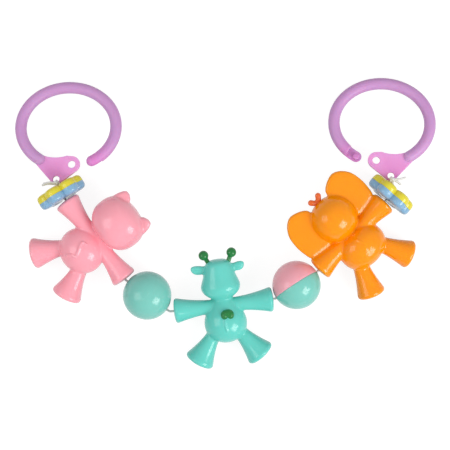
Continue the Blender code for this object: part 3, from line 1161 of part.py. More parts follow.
def build():
    clear_scene()
    middle = Vector((GIRAFFE_X, GIRAFFE_Y, AXIS_HEIGHT))
    giraffe_tilt = resting_tilt(GIRAFFE_FOOT_DROP, GIRAFFE_FOOT_RADIUS)
    make_giraffe(place(middle, GIRAFFE_HEADING, giraffe_tilt), giraffe_tilt)
    cord_stretch("cord_giraffe", middle, GIRAFFE_HEADING, -GIRAFFE_HAND_REACH - LEFT_BALL_GIRAFFE_GAP / 2,
                 GIRAFFE_HAND_REACH + RIGHT_BALL_GAP / 2)

    left = make_side("left", -1, (LEFT_BALL_GIRAFFE_GAP, LEFT_BALL_PIG_GAP),
                     (LEFT_BALL_HEADING, PIG_HEADING, LEFT_FLOWER_HEADING, LEFT_KNOT_HEADING),
                     PIG_HAND_REACH, "pig", LEFT_KNOT_STEM, LEFT_HOOK_TURN, False, LEFT_BALL_ROLL,
                     LEFT_FLOWER_ROLL, ("mint", "pink"))
    right = make_side("right", 1, (RIGHT_BALL_GAP, RIGHT_BALL_GAP),
                      (RIGHT_BALL_HEADING, ELEPHANT_HEADING, RIGHT_FLOWER_HEADING, RIGHT_KNOT_HEADING),
                      ELEPHANT_HAND_REACH, "elephant", RIGHT_KNOT_STEM, RIGHT_HOOK_TURN, True,
                      RIGHT_BALL_ROLL, RIGHT_FLOWER_ROLL, ("mint", "pink"))

    pig_tilt = resting_tilt(PIG_FOOT_DROP, PIG_FOOT_RADIUS)
    make_pig(place(left["animal"], PIG_HEADING, pig_tilt), pig_tilt)
    elephant_tilt = resting_tilt(ELEPHANT_FOOT_DROP, ELEPHANT_FOOT_RADIUS)
    make_elephant(place(right["animal"], ELEPHANT_HEADING, elephant_tilt), elephant_tilt)


build()
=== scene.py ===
import json
import math
from collections import namedtuple
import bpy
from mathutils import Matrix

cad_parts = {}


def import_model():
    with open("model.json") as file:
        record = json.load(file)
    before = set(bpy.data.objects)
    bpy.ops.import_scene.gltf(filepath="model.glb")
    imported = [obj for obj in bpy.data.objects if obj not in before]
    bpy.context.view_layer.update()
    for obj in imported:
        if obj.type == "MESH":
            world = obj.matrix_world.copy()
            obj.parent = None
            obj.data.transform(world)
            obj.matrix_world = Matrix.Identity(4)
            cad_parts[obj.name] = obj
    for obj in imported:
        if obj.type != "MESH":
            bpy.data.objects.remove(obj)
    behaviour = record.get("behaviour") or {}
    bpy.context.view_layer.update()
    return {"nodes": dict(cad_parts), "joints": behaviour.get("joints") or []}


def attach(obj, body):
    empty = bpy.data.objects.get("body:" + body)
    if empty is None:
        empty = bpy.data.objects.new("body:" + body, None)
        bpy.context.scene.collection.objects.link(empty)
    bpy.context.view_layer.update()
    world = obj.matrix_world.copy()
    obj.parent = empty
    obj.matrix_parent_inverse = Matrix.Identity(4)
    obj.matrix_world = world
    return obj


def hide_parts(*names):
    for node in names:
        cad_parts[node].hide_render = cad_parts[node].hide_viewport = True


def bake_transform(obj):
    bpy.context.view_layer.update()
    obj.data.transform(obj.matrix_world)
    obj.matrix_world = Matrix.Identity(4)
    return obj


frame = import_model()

from types import SimpleNamespace

import bmesh
import bpy
from mathutils import Matrix, Vector

JOINTS = {joint["name"]: joint for joint in frame["joints"]}
AXIS_HEIGHT = JOINTS["giraffe_on_cord"]["pos_m"][2]

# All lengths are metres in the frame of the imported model
FLOOR_GAP = 0.00005
SEAM_GAP = 0.00006
CORD_RADIUS = 0.00055
CORD_BORE_RADIUS = 0.0008
CUT_OVERRUN = 0.002
CUT_TOLERANCE = 0.0000001
POLE_RADIUS = 0.0000005
EDGE_ANGLE = math.radians(50)
# Where the rings of a tube's round end lie, as angles from its rim to its pole
CAP_ANGLES = (0.25, 0.55, 0.85, 1.15, 1.38)

# A rounded body: its half sizes, how far up its middle is and how square it is
Blob = namedtuple("Blob", "half_width half_height half_depth middle power")

PIG = SimpleNamespace(
    torso=Blob(0.0133, 0.0122, 0.0115, -0.0102, 2.0),
    head=Blob(0.0154, 0.0127, 0.0128, 0.0159, 2.4),
    hand_reach=0.0278, hand_radius=0.0073, arm_radius=0.0039,
    hip_x=0.0070, hip_drop=0.0160, leg_radius=0.0043,
    foot_x=0.0145, foot_drop=0.0322, foot_radius=0.0086,
)
GIRAFFE = SimpleNamespace(
    torso_half_width=0.0120, torso_half_depth=0.0108, torso_bottom=-0.0214, neck_top=0.0085,
    muzzle_half_width=0.0111, head_half_depth=0.0096, chin_rise=0.0032, crown_rise=0.0264,
    hand_reach=0.0282, hand_radius=0.0070, arm_radius=0.0037,
    hip_x=0.0065, hip_drop=0.0150, leg_radius=0.0038,
    foot_x=0.0170, foot_drop=0.0298, foot_radius=0.0083,
)
ELEPHANT = SimpleNamespace(
    torso=Blob(0.0142, 0.0112, 0.0117, -0.0085, 2.2),
    head=Blob(0.0131, 0.0128, 0.0124, 0.0143, 2.1),
    hand_reach=0.0269, hand_radius=0.0071, arm_radius=0.0044,
    hip_x=0.0072, hip_drop=0.0130, leg_radius=0.0043,
    foot_x=0.0150, foot_drop=0.0308, foot_radius=0.0080,
)
ARM_FLARE_POWER = 2.2
LEG_FLARE_POWER = 1.65
HAND_RIM_ROUND = 0.0014
HAND_BULGE = 0.0006
SOLE_RIM_ROUND = 0.0017
SOLE_BULGE = 0.0013
EYE_RADIUS = 0.0015
EYE_SUNK = 0.0009
SNOUT_FLOOR_GAP = 0.0003
SNOUT_FOOT_RISE = 0.0012
SNOUT_FOOT_SHARES = (0.93, 0.75)
SNOUT_ROOT_SHARE = 0.7
NOSTRIL_RADIUS = 0.0009
NOSTRIL_SPACING_SHARE = 0.4
NOSTRIL_DEPTH_SHARE = 1.5
# How fine a melted skin is, and how many rounds of smoothing soften its creases
FORM_VOXEL = 0.0004
FORM_ROUNDS = 6
DETAIL_VOXEL = 0.00035
DETAIL_ROUNDS = 3
FINE_VOXEL = 0.0002
FINE_ROUNDS = 4
# How many points a ring has
BODY_SIDES = 64
SMALL_SIDES = 24

# Half widths of the giraffe's torso and head, from their lowest point to their highest
TORSO_PEAR_SHARES = [(0.0, 0.0), (0.008, 0.22), (0.03, 0.42), (0.10, 0.72), (0.22, 0.93), (0.38, 1.0),
                     (0.55, 0.90), (0.72, 0.64), (0.86, 0.44), (1.0, 0.38)]
GIRAFFE_HEAD_SHARES = [(0.0, 0.0), (0.006, 0.18), (0.02, 0.34), (0.06, 0.54), (0.15, 0.81), (0.24, 0.95),
                       (0.345, 1.0), (0.46, 0.935), (0.58, 0.84), (0.70, 0.77), (0.82, 0.71),
                       (0.92, 0.61), (0.975, 0.43), (0.994, 0.2), (1.0, 0.0)]
# Along a giraffe's ear: how far out, how high its middle is and how wide it is
GIRAFFE_EAR_SHARES = [(0.0, 0.0, 0.80), (0.25, 0.0, 0.92), (0.5, 0.05, 1.04), (0.75, 0.16, 0.96),
                      (0.92, 0.32, 0.62), (1.0, 0.5, 0.10)]
GIRAFFE_EAR_X = 0.0068
GIRAFFE_EAR_RISE = 0.0212
GIRAFFE_EAR_LENGTHS = {-1: 0.0094, 1: 0.0075}
GIRAFFE_EAR_HALF_WIDTH = 0.0026
GIRAFFE_EAR_HALF_THICKNESS = 0.0013
GIRAFFE_HEAD_X = -0.0004
GIRAFFE_MUZZLE_RADIUS = 0.0062
GIRAFFE_MUZZLE_RISE = 0.0102
GIRAFFE_EYE = (0.0041, 0.0183, 0.0064)
GIRAFFE_TAIL_LENGTH = 0.0062
GIRAFFE_TAIL_PROUD = 0.0005
GIRAFFE_TAIL_RADII = (0.0004, 0.0006, 0.0007, 0.0007)
GIRAFFE_TAIL_SHARES = [(0.06, 1.5), (0.0, 1.2), (-0.03, 0.9), (0.0, 0.45)]
HORN_FOOT = (0.0052, 0.0240)
HORN_TOP = (0.0078, 0.0294)
HORN_BALL_RADIUS = 0.0028
HORN_STEM_RADIUS = 0.0013
HORN_STEM_SHARES = (-0.3, 0.3, 0.6, 1)
TUFT_MIDDLE = (0.0015, -0.0034)
TUFT_DEPTH = 0.0026
TUFT_SUNK_SHARE = 1 / 6
TUFT_POWER = 2.3
# Each lobe of the tuft: how far aside and how far up from its middle, and its half width and height
TUFT_LOBES = [(-0.0017, -0.0004, 0.0020, 0.0024), (0.0017, -0.0004, 0.0020, 0.0024),
              (0.0, 0.0004, 0.0033, 0.0022)]

PIG_EAR_OUTLINE = [(0.0048, 0.0225), (0.0050, 0.0282), (0.0076, 0.0306), (0.0104, 0.0311), (0.0121, 0.0299),
                   (0.0134, 0.0262), (0.0138, 0.0225)]
PIG_EAR_LEVEL_SHARES = [(-1, 0.5), (-0.85, 0.78), (-0.5, 0.95), (0, 1), (0.5, 0.95), (0.85, 0.78), (1, 0.5)]
PIG_EAR_HALF_THICKNESS = 0.0021
PIG_SNOUT_RADIUS = 0.0048
PIG_SNOUT_RISE = 0.0149
PIG_EYE = (0.0058, 0.0182)
PIG_TAIL_LENGTH = 0.0068
PIG_TAIL_PROUD = 0.0007
PIG_TAIL_RADII = (0.0005, 0.0007, 0.0009, 0.0009, 0.0009, 0.0007, 0.0005)
PIG_TAIL_SHARES = [(-0.36, -0.90), (-0.15, -0.48), (0.20, -0.29), (0.03, 0.06), (-0.28, 0.52), (-0.42, 0.84),
                   (-0.10, 1.0)]

# Round an elephant's ear from its inner top: how far out and how far up from its middle
ELEPHANT_EAR_SHARES = [(-1.0, 0.3), (-0.93, 0.65), (-0.52, 0.89), (0.04, 1.0), (0.52, 0.80), (0.86, 0.40),
                       (0.97, -0.10), (0.95, -0.50), (0.82, -0.94), (0.42, -1.06), (0.0, -1.09),
                       (-0.45, -1.13), (-1.0, -1.0)]
ELEPHANT_EAR_MIDDLE = (0.0165, 0.0198)
ELEPHANT_EAR_HALF_WIDTH = 0.0100
ELEPHANT_EAR_HALF_HEIGHT = 0.0131
ELEPHANT_EAR_HALF_THICKNESS = 0.0016
EAR_LEVEL_SHARES = [(-1, 0.72), (-0.92, 0.88), (-0.7, 0.96), (-0.3, 1), (0.3, 1), (0.7, 0.96), (0.92, 0.88),
                    (1, 0.72)]
ELEPHANT_EYE = (0.0049, 0.0166)
TRUNK_RADII = (0.0042, 0.0028)
TRUNK_LENGTH = 0.0105
TRUNK_ROOT_DEPTH = 0.0077
ELEPHANT_TAIL_LENGTH = 0.0070
ELEPHANT_TAIL_PROUD = 0.0002
ELEPHANT_TAIL_RISE = 0.0034
ELEPHANT_TAIL_RADII = (0.0009, 0.0010, 0.0009)
ELEPHANT_TAIL_SHARES = [(0.0, 0.5), (0.12, 0.0), (-0.05, -0.5)]
HAIR_CROWN = 0.0268
HAIR_FOOT = (0.0015, 0.0282)
HAIR_TOP = (0.0028, 0.0299)
HAIR_RADII = (0.0015, 0.0016, 0.0017)
HAIR_PEG_RADIUS = 0.0012
HAIR_ROUNDS = 3

BALL_RADIUS = 0.0136
BALL_WALL = 0.0015
BALL_EDGE_ROUND = 0.00010
BALL_OUTER_STEPS = 24
BALL_INNER_STEPS = 17
BALL_SIDES = 96
PELLET_COUNT = 3
BALL_ROLLS = {"left": 0.0, "right": math.radians(82)}
FLOWER_ROLLS = {"left": math.radians(-10), "right": math.radians(3)}
FLOWER_HALF_THICKNESS = 0.0043
PETAL_COUNT = 6
PETAL_RADIUS = 0.0051
PETAL_CENTRE_RADIUS = 0.0089
PETAL_POWER = 3.8
FLOWER_HUB_RADIUS = 0.0076
FLOWER_HUB_SHARE = 0.95
FLOWER_HUB_POWER = 6
FLOWER_DISH_RADIUS = 0.0054
FLOWER_DISH_DEPTH = 0.0016
FLOWER_VOXEL = 0.00026
FLOWER_ROUNDS = 2

BRAID_DEPTH_SHARE = 0.10
BRAID_PITCH = 4200
BRAID_WAVES = 4
BEND_REACH = 0.0011
BEND_RADIUS_SHARE = 1.04
STRETCH_GAP_SHARE = 0.7

# Of each stretch of cord: the joints at its two ends and its body
STRETCHES = {
    "giraffe": ("left_ball_bend", "right_ball_bend", "middle_cord"),
    "ball_left": ("left_ball_bend", "pig_bend", "left_ball_cord"),
    "pig": ("pig_bend", "left_flower_bend", "pig_cord"),
    "flower_left": ("left_flower_bend", "left_knot_bend", "left_flower_cord"),
    "ball_right": ("right_ball_bend", "elephant_bend", "right_ball_cord"),
    "elephant": ("elephant_bend", "right_flower_bend", "elephant_cord"),
    "flower_right": ("right_flower_bend", "right_knot_bend", "right_flower_cord"),
}
# Of each bend: the joints before and after it
BENDS = {
    "left_ball_bend": ("giraffe_on_cord", "pig_bend"),
    "pig_bend": ("left_ball_bend", "left_flower_bend"),
    "left_flower_bend": ("pig_bend", "left_knot_bend"),
    "left_knot_bend": ("left_flower_bend", "left_hook_fold"),
    "right_ball_bend": ("giraffe_on_cord", "elephant_bend"),
    "elephant_bend": ("right_ball_bend", "right_flower_bend"),
    "right_flower_bend": ("elephant_bend", "right_knot_bend"),
    "right_knot_bend": ("right_flower_bend", "right_hook_fold"),
}

LOOP_RADIUS = 0.00165
LOOP_STEPS = 40
KNOT_LIFT = math.radians(96)
KNOT_TURNS = 3
KNOT_TURN_STEPS = 16
KNOT_TURN_RADIUS = 0.00066
KNOT_WIDTH = 0.0023
KNOT_RISE = 0.0002
TAIL_LENGTH = 0.0066
TAIL_RISE = 0.0008
# Of each tail: how far back, how far out and how high
TAIL_SHARES = {"left": [(0.26, 1.06, 0.8), (0.13, 1.20, -0.5)], "right": [(-0.12, 1.10, 0.5), (-0.5, 0.58, -0.5)]}
TAIL_RADIUS = 0.0006
TAIL_STEPS = 12
TAIL_WAVE_SHARE = 0.5
TAIL_WAVE_LENGTH = 5
TAIL_WAVE_START = 9
# The strand that lies over the winding, in cord radii from the middle of the knot
OVERLAY_SHARES = [(-1.5, -2.2, -0.7), (-1.6, -1.1, 1.3), (0, 0, 2.45), (1.6, 1.1, 1.3), (1.5, 2.2, -0.7)]
THREAD_COUNT = 9
THREAD_TURN = 2.4
THREAD_SPREAD_SHARE = 0.7
THREAD_LENGTH_SHARES = (1.1, 1.25, 1.4)
THREAD_LEAN_SHARE = 0.2
THREAD_RADIUS_SHARES = (0.2, 0.18, 0.13)

RING_HALF_WIDTH = 0.0270
RING_HALF_HEIGHT = 0.02305
RING_BAR_RADIUS = 0.00325
RING_START = math.radians(234)
RING_END = math.radians(-59.3)
PLATE_THICKNESS = 0.0016
CORD_HOLE = (-0.0061, -0.0301)
CORD_HOLE_RADIUS = 0.0019
CORD_BRIDGE = 0.0012
SNAP_HOLE = (0.0024, -0.0216)
SNAP_HOLE_RADIUS = 0.0021
LOBE_RADIUS = 0.0047
PLATE_BITE_RADIUS = 0.0200
PLATE_BITE_DEPTH = 0.0015
PLATE_EDGE_ROUND = 0.0004
PLATE_ARC_STEPS = 24
PLATE_BITE_SIDES = 160
PLATE_TINT_REACH = 0.0094
PLATE_TINT_FULL = 1.1
FLAT_NORMAL = 0.999
TONGUE_LENGTH = 0.0052
TONGUE_EDGE_ROUND = 0.00006
TONGUE_EDGE_ANGLE = math.radians(40)
STUD_RADIUS = 0.0019
STUD_FOOT_SHARE = 0.84
STUD_FOOT_HEIGHT_SHARE = 0.6
RING_STEPS = 200
RING_SIDES = 40
RING_TINT_ANGLE = math.radians(34)
HOOK_TURNS = {"left": 0.0, "right": math.radians(-3)}

CLOUD_SCALE = 60.0
CLOUD_RANGE = (0.35, 0.7)
CLOUD_SHARE = 0.14
FLOW_SCALE = 190.0
FLOW_RELIEF = 0.00003
NOISE_RANGE = (0.3, 0.7)
# Pointiness range over which crowns take a painted highlight
CROWN_HIGHLIGHT_POINTINESS = (0.51, 0.60)
# Pointiness range over which creases take a painted shade
CREASE_SHADE_POINTINESS = (0.40, 0.49)
BLEED_SHARES = (1.0, 0.6, 0.5)
PLASTIC_SPECULAR = 0.42
FIBRE_SCALE = 5200.0
FIBRE_SHARE = 0.4
FIBRE_RELIEF = 0.00004
# Pointiness range over which the cord's creases take a painted shade
CORD_CREASE_SHADE_POINTINESS = (0.40, 0.50)
CORD_ROUGHNESS = 0.75

# Of each lamp: its place, the side of its square and how bright it is beside white paper
LAMPS = {
    "key": ((0.66, -0.42, 0.60), 0.50, 7.0),
    "side": ((-0.68, -0.06, 0.72), 0.55, 2.4),
}
WORLD_STRENGTH = 0.60
FLOOR_HALF_SIZE = 1.5
FLOOR_SHADE = 0.26
FLOOR_LIFT = 0.86
CAMERA_PLACE = (-0.00007, -0.00145, 0.814)
CAMERA_SENSOR = 36
CAMERA_LENS = 114.3


def joint_spot(name):
    return Vector(JOINTS[name]["pos_m"])


def joint_way(name):
    return Vector(JOINTS[name]["axis"]).normalized()


def lying(joint, tilt=0.0):
    """The place of a piece on its stretch of cord, which runs along the piece's x, tipped about it."""
    way = joint_way(joint)
    return (Matrix.Translation(joint_spot(joint)) @ Matrix.Rotation(math.atan2(way.y, way.x), 4, "Z")
            @ Matrix.Rotation(tilt, 4, "X"))


def resting_tilt(animal):
    """The tilt about its arms at which an animal's feet touch the floor."""
    reach = math.hypot(animal.foot_drop, animal.foot_radius)
    return math.asin((AXIS_HEIGHT - FLOOR_GAP) / reach) - math.atan2(animal.foot_radius, animal.foot_drop)


def joined_rings(rings, closed):
    """Faces between rings of points that follow each other; a ring of one point is a pole."""
    skin = bmesh.new()
    rows = [[skin.verts.new(point) for point in ring] for ring in rings]
    pairs = list(zip(rows, rows[1:]))
    if closed:
        pairs.append((rows[-1], rows[0]))
    for low, high in pairs:
        count = max(len(low), len(high))
        for k in range(count if count > 1 else 0):
            after = (k + 1) % count
            corners = [low[k % len(low)], low[after % len(low)], high[after % len(high)], high[k % len(high)]]
            skin.faces.new(list(dict.fromkeys(corners)))
    return skin, rows


def loft(rings, closed=False):
    """A closed skin over rings of points, with flat ends where the first and last ring are no poles."""
    skin, rows = joined_rings(rings, closed)
    if not closed:
        for end in (rows[0], rows[-1]):
            if len(end) > 1:
                skin.faces.new(end)
    bmesh.ops.recalc_face_normals(skin, faces=skin.faces)
    mesh = bpy.data.meshes.new("loft")
    skin.to_mesh(mesh)
    skin.free()
    return mesh


def circle(count):
    return [math.tau * k / count for k in range(count)]


def turned(profile, sides=48, depth_share=1.0):
    """A solid turned about y from (y, radius) pairs, flattened along z."""
    rings = []
    for y, radius in profile:
        if radius < POLE_RADIUS:
            rings.append([Vector((0, y, 0))])
        else:
            rings.append([Vector((radius * math.cos(t), y, radius * depth_share * math.sin(t)))
                          for t in circle(sides)])
    return loft(rings)


def superellipse(half_width, half_height, middle, power, rings=28):
    pairs = [(middle - half_height, 0)]
    for k in range(1, rings):
        turn = math.pi * (k / rings - 0.5)
        y = math.copysign(abs(math.sin(turn)) ** (2 / power), turn)
        pairs.append((middle + half_height * y, half_width * math.cos(turn) ** (2 / power)))
    pairs.append((middle + half_height, 0))
    return pairs


def blob_mesh(blob):
    return turned(superellipse(blob.half_width, blob.half_height, blob.middle, blob.power), BODY_SIDES,
                  blob.half_depth / blob.half_width)


def smooth_line(points, steps):
    """A smooth line of tuples through chosen ones."""
    ends = [points[0]] + list(points) + [points[-1]]
    made = []
    for a, b, c, d in zip(ends, ends[1:], ends[2:], ends[3:]):
        for k in range(steps):
            t = k / steps
            made.append(tuple(0.5 * (2 * q + (r - p) * t + (2 * p - 5 * q + 4 * r - s) * t * t
                                     + (3 * q - p - 3 * r + s) * t ** 3)
                              for p, q, r, s in zip(a, b, c, d)))
    made.append(tuple(points[-1]))
    return made


def shared_profile(shares, low, high, half_width, steps=4):
    return [(low + (high - low) * y, half_width * max(0.0, width)) for y, width in smooth_line(shares, steps)]


def flared(length, narrow, wide, rim, bulge, power, steps=16, rim_steps=9):
    """The (y, radius) pairs of a limb that flares to a round-rimmed, slightly domed end."""
    slope = math.atan(power * (wide - narrow) / (length - bulge - rim))
    straight = length - bulge - rim * (1 + math.sin(slope))
    flare = wide - rim * (1 - math.cos(slope)) - narrow
    pairs = [(straight * k / steps, narrow + flare * (k / steps) ** power) for k in range(steps + 1)]
    for k in range(1, rim_steps):
        turn = (math.pi / 2 + slope) * k / (rim_steps - 1) - slope
        pairs.append((straight + rim * (math.sin(turn) + math.sin(slope)), wide - rim * (1 - math.cos(turn))))
    for k in range(1, rim_steps + 1):
        share = k / rim_steps
        pairs.append((length - bulge * (1 - share) ** 2, (wide - rim) * (1 - share)))
    return pairs


def travelling_rings(points, sides):
    """For each of a line's points its tangent and the spokes of a ring across it, without twist."""
    rings = []
    spoke = None
    for k, point in enumerate(points):
        tangent = (points[min(k + 1, len(points) - 1)] - points[max(k - 1, 0)]).normalized()
        if spoke is None:
            spoke = tangent.orthogonal().normalized()
        spoke = (spoke - tangent * spoke.dot(tangent)).normalized()
        side = tangent.cross(spoke)
        rings.append((point, tangent, [spoke * math.cos(t) + side * math.sin(t) for t in circle(sides)]))
    return rings


def tube(points, radii, sides=20):
    """A round bar along points, with round ends."""
    points = [Vector(p) for p in points]
    if not isinstance(radii, (list, tuple)):
        radii = [radii] * len(points)
    rings = travelling_rings(points, sides)
    skin = [[point + spoke * radius for spoke in ring] for (point, _, ring), radius in zip(rings, radii)]

    def cap(end, radius, way):
        point, tangent, spokes = end
        domes = [[point + tangent * way * radius * math.sin(t) + spoke * radius * math.cos(t)
                  for spoke in spokes] for t in CAP_ANGLES]
        return domes + [[point + tangent * way * radius]]

    return loft(cap(rings[0], radii[0], -1)[::-1] + skin + cap(rings[-1], radii[-1], 1))


def ball_mesh(radius, middle, sides=32):
    mesh = turned(superellipse(radius, radius, 0, 2, 16), sides)
    mesh.transform(Matrix.Translation(middle))
    return mesh


def disc(radius, low, high, middle=(0, 0), sides=48):
    return loft([[Vector((middle[0] + radius * math.cos(t), middle[1] + radius * math.sin(t), z))
                  for t in circle(sides)] for z in (low, high)])


def block(low, high):
    """A box used as a cutter."""
    corners = [(low[0], low[1]), (high[0], low[1]), (high[0], high[1]), (low[0], high[1])]
    return loft([[Vector((x, y, z)) for x, y in corners] for z in (low[2], high[2])])


def aimed(direction, start=(0, 0, 0)):
    turn = Vector((0, 1, 0)).rotation_difference(Vector(direction)).to_matrix().to_4x4()
    return Matrix.Translation(start) @ turn


def at(mesh, matrix):
    mesh.transform(matrix)
    return mesh


def joined(meshes):
    whole = bmesh.new()
    for mesh in meshes:
        whole.from_mesh(mesh)
    made = bpy.data.meshes.new("joined")
    whole.to_mesh(made)
    whole.free()
    return made


def linked(name, mesh):
    piece = bpy.data.objects.new(name, mesh)
    bpy.context.scene.collection.objects.link(piece)
    return piece


def show(name, mesh, body, material, slot, *nodes):
    """A piece of the object in the row's frame that rides on a body and stands for CAD nodes."""
    piece = linked(name, mesh)
    mesh.materials.clear()
    mesh.materials.append(material)
    mesh.shade_smooth()
    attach(piece, body)
    if nodes:
        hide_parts(*nodes)


def settled(mesh, steps):
    """A mesh after a list of modifier settings."""
    piece = linked("settling", mesh)
    for kind, values in steps:
        step = piece.modifiers.new(kind, kind)
        for key, value in values.items():
            setattr(step, key, value)
    bpy.context.view_layer.update()
    made = bpy.data.meshes.new_from_object(piece.evaluated_get(bpy.context.evaluated_depsgraph_get()))
    bpy.data.objects.remove(piece)
    return made


def melted(meshes, voxel, rounds):
    """Overlapping forms as one skin with soft creases between them."""
    return settled(joined(meshes), [
        ("REMESH", {"mode": "VOXEL", "voxel_size": voxel, "use_smooth_shade": True}),
        ("SMOOTH", {"factor": 0.5, "iterations": rounds}),
    ])


def cut_with(mesh, cutters):
    """The mesh with the cutters taken out."""
    tools = [linked("cutter", cutter) for cutter in cutters]
    made = settled(mesh, [("BOOLEAN", {"operation": "DIFFERENCE", "solver": "EXACT", "object": tool})
                          for tool in tools])
    for tool in tools:
        bpy.data.objects.remove(tool)
    return made


def rounded(mesh, width, segments, angle=EDGE_ANGLE):
    """The mesh with the edges that are sharper than the angle rounded off."""
    return settled(mesh, [("BEVEL", {"width": width, "segments": segments, "limit_method": "ANGLE",
                                     "angle_limit": angle})])


def parted(mesh, normal):
    """The two sides of a form, cut at its seam plane through the origin; normal points to the first."""
    made = []
    for way in (1, -1):
        skin = bmesh.new()
        skin.from_mesh(mesh)
        whole = skin.verts[:] + skin.edges[:] + skin.faces[:]
        cut = bmesh.ops.bisect_plane(skin, geom=whole, dist=CUT_TOLERANCE,
                                     plane_co=normal * way * SEAM_GAP / 2, plane_no=normal * way,
                                     clear_inner=True)
        rim = [e for e in cut["geom_cut"] if isinstance(e, bmesh.types.BMEdge)]
        bmesh.ops.holes_fill(skin, edges=rim, sides=0)
        for edge in rim:
            edge.smooth = False
        half = bpy.data.meshes.new("half")
        skin.to_mesh(half)
        skin.free()
        made.append(half)
    return made


def colour(red, green, blue):
    """Screen values from 0 to 255 as a linear colour."""
    return tuple(c / 255 / 12.92 if c <= 10 else ((c / 255 + 0.055) / 1.055) ** 2.4
                 for c in (red, green, blue)) + (1.0,)


def node(tree, kind, links=None, **settings):
    """A node with its settings, and its inputs set or linked by name or number."""
    made = tree.nodes.new("ShaderNode" + kind)
    for key, value in settings.items():
        setattr(made, key, value)
    for key, value in (links or {}).items():
        if isinstance(value, bpy.types.NodeSocket):
            tree.links.new(value, made.inputs[key])
        else:
            made.inputs[key].default_value = value
    return made


def mixed(tree, share, low, high):
    mix = node(tree, "Mix", {0: share, 6: low, 7: high}, data_type="RGBA")
    return mix.outputs[2]


def spread(tree, value, low, high, made_low, made_high):
    return node(tree, "MapRange", {0: value, 1: low, 2: high, 3: made_low, 4: made_high}).outputs[0]


def plastic(name, shade, deep_tone_and_crease_shade, pale_tone_and_crown_highlight, rough=(0.13, 0.19), bleed=0.25, reach=0.002, tint=None,
            crease_shade_share=0.7, crown_highlight_share=0.4):
    """Moulded plastic: creases take a painted shade in the deep colour and crowns a painted highlight in the pale
    one, over faint clouds and flow marks.

    Where the mesh's "tint" is 1 the colour is tint. The colours are screen values."""
    shade, deep_tone_and_crease_shade, pale_tone_and_crown_highlight = colour(*shade), colour(*deep_tone_and_crease_shade), colour(*pale_tone_and_crown_highlight)
    made = bpy.data.materials.new(name)
    made.use_nodes = True
    tree = made.node_tree
    shader = tree.nodes["Principled BSDF"]
    place = node(tree, "TexCoord").outputs["Object"]
    cloud = node(tree, "TexNoise", {"Vector": place, "Scale": CLOUD_SCALE, "Detail": 2.0}).outputs["Fac"]
    flow = node(tree, "TexNoise", {"Vector": place, "Scale": FLOW_SCALE, "Detail": 2.0}).outputs["Fac"]
    bend = node(tree, "NewGeometry").outputs["Pointiness"]
    base = mixed(tree, spread(tree, cloud, *CLOUD_RANGE, 0.0, CLOUD_SHARE), shade, pale_tone_and_crown_highlight)
    if tint:
        where = node(tree, "Attribute", attribute_name="tint").outputs["Fac"]
        base = mixed(tree, where, base, colour(*tint))
    # Painted highlight: pointy crowns are lightened towards the pale tone
    base = mixed(tree, spread(tree, bend, *CROWN_HIGHLIGHT_POINTINESS, 0.0, crown_highlight_share), base, pale_tone_and_crown_highlight)
    # Painted shade: creases are darkened towards the deep colour
    base = mixed(tree, spread(tree, bend, *CREASE_SHADE_POINTINESS, crease_shade_share, 0.0), base, deep_tone_and_crease_shade)
    tree.links.new(base, shader.inputs["Base Color"])
    tree.links.new(spread(tree, flow, *NOISE_RANGE, *rough), shader.inputs["Roughness"])
    shader.inputs["Subsurface Weight"].default_value = bleed
    shader.inputs["Subsurface Radius"].default_value = BLEED_SHARES
    shader.inputs["Subsurface Scale"].default_value = reach
    shader.inputs["Specular IOR Level"].default_value = PLASTIC_SPECULAR
    waves = node(tree, "Bump", {"Strength": 0.4, "Distance": FLOW_RELIEF, "Height": flow})
    tree.links.new(waves.outputs[0], shader.inputs["Normal"])
    made.diffuse_color = shade
    return made


def woven(name, shade, deep_tone_and_crease_shade):
    """Braided cover of an elastic cord, in screen values, with darker fibres and a painted shade in its creases,
    both in the deep colour.
    """
    shade, deep_tone_and_crease_shade = colour(*shade), colour(*deep_tone_and_crease_shade)
    made = bpy.data.materials.new(name)
    made.use_nodes = True
    tree = made.node_tree
    shader = tree.nodes["Principled BSDF"]
    place = node(tree, "TexCoord").outputs["Object"]
    fibre = node(tree, "TexNoise", {"Vector": place, "Scale": FIBRE_SCALE, "Detail": 4.0}).outputs["Fac"]
    bend = node(tree, "NewGeometry").outputs["Pointiness"]
    base = mixed(tree, spread(tree, fibre, *NOISE_RANGE, 0.0, FIBRE_SHARE), shade, deep_tone_and_crease_shade)
    # Painted shade: the cord's creases are darkened towards the deep colour
    base = mixed(tree, spread(tree, bend, *CORD_CREASE_SHADE_POINTINESS, 1.0, 0.0), base, deep_tone_and_crease_shade)
    tree.links.new(base, shader.inputs["Base Color"])
    shader.inputs["Roughness"].default_value = CORD_ROUGHNESS
    shader.inputs["Sheen Weight"].default_value = 0.3
    bump = node(tree, "Bump", {"Strength": 0.6, "Distance": FIBRE_RELIEF, "Height": fibre})
    tree.links.new(bump.outputs[0], shader.inputs["Normal"])
    made.diffuse_color = shade
    return made


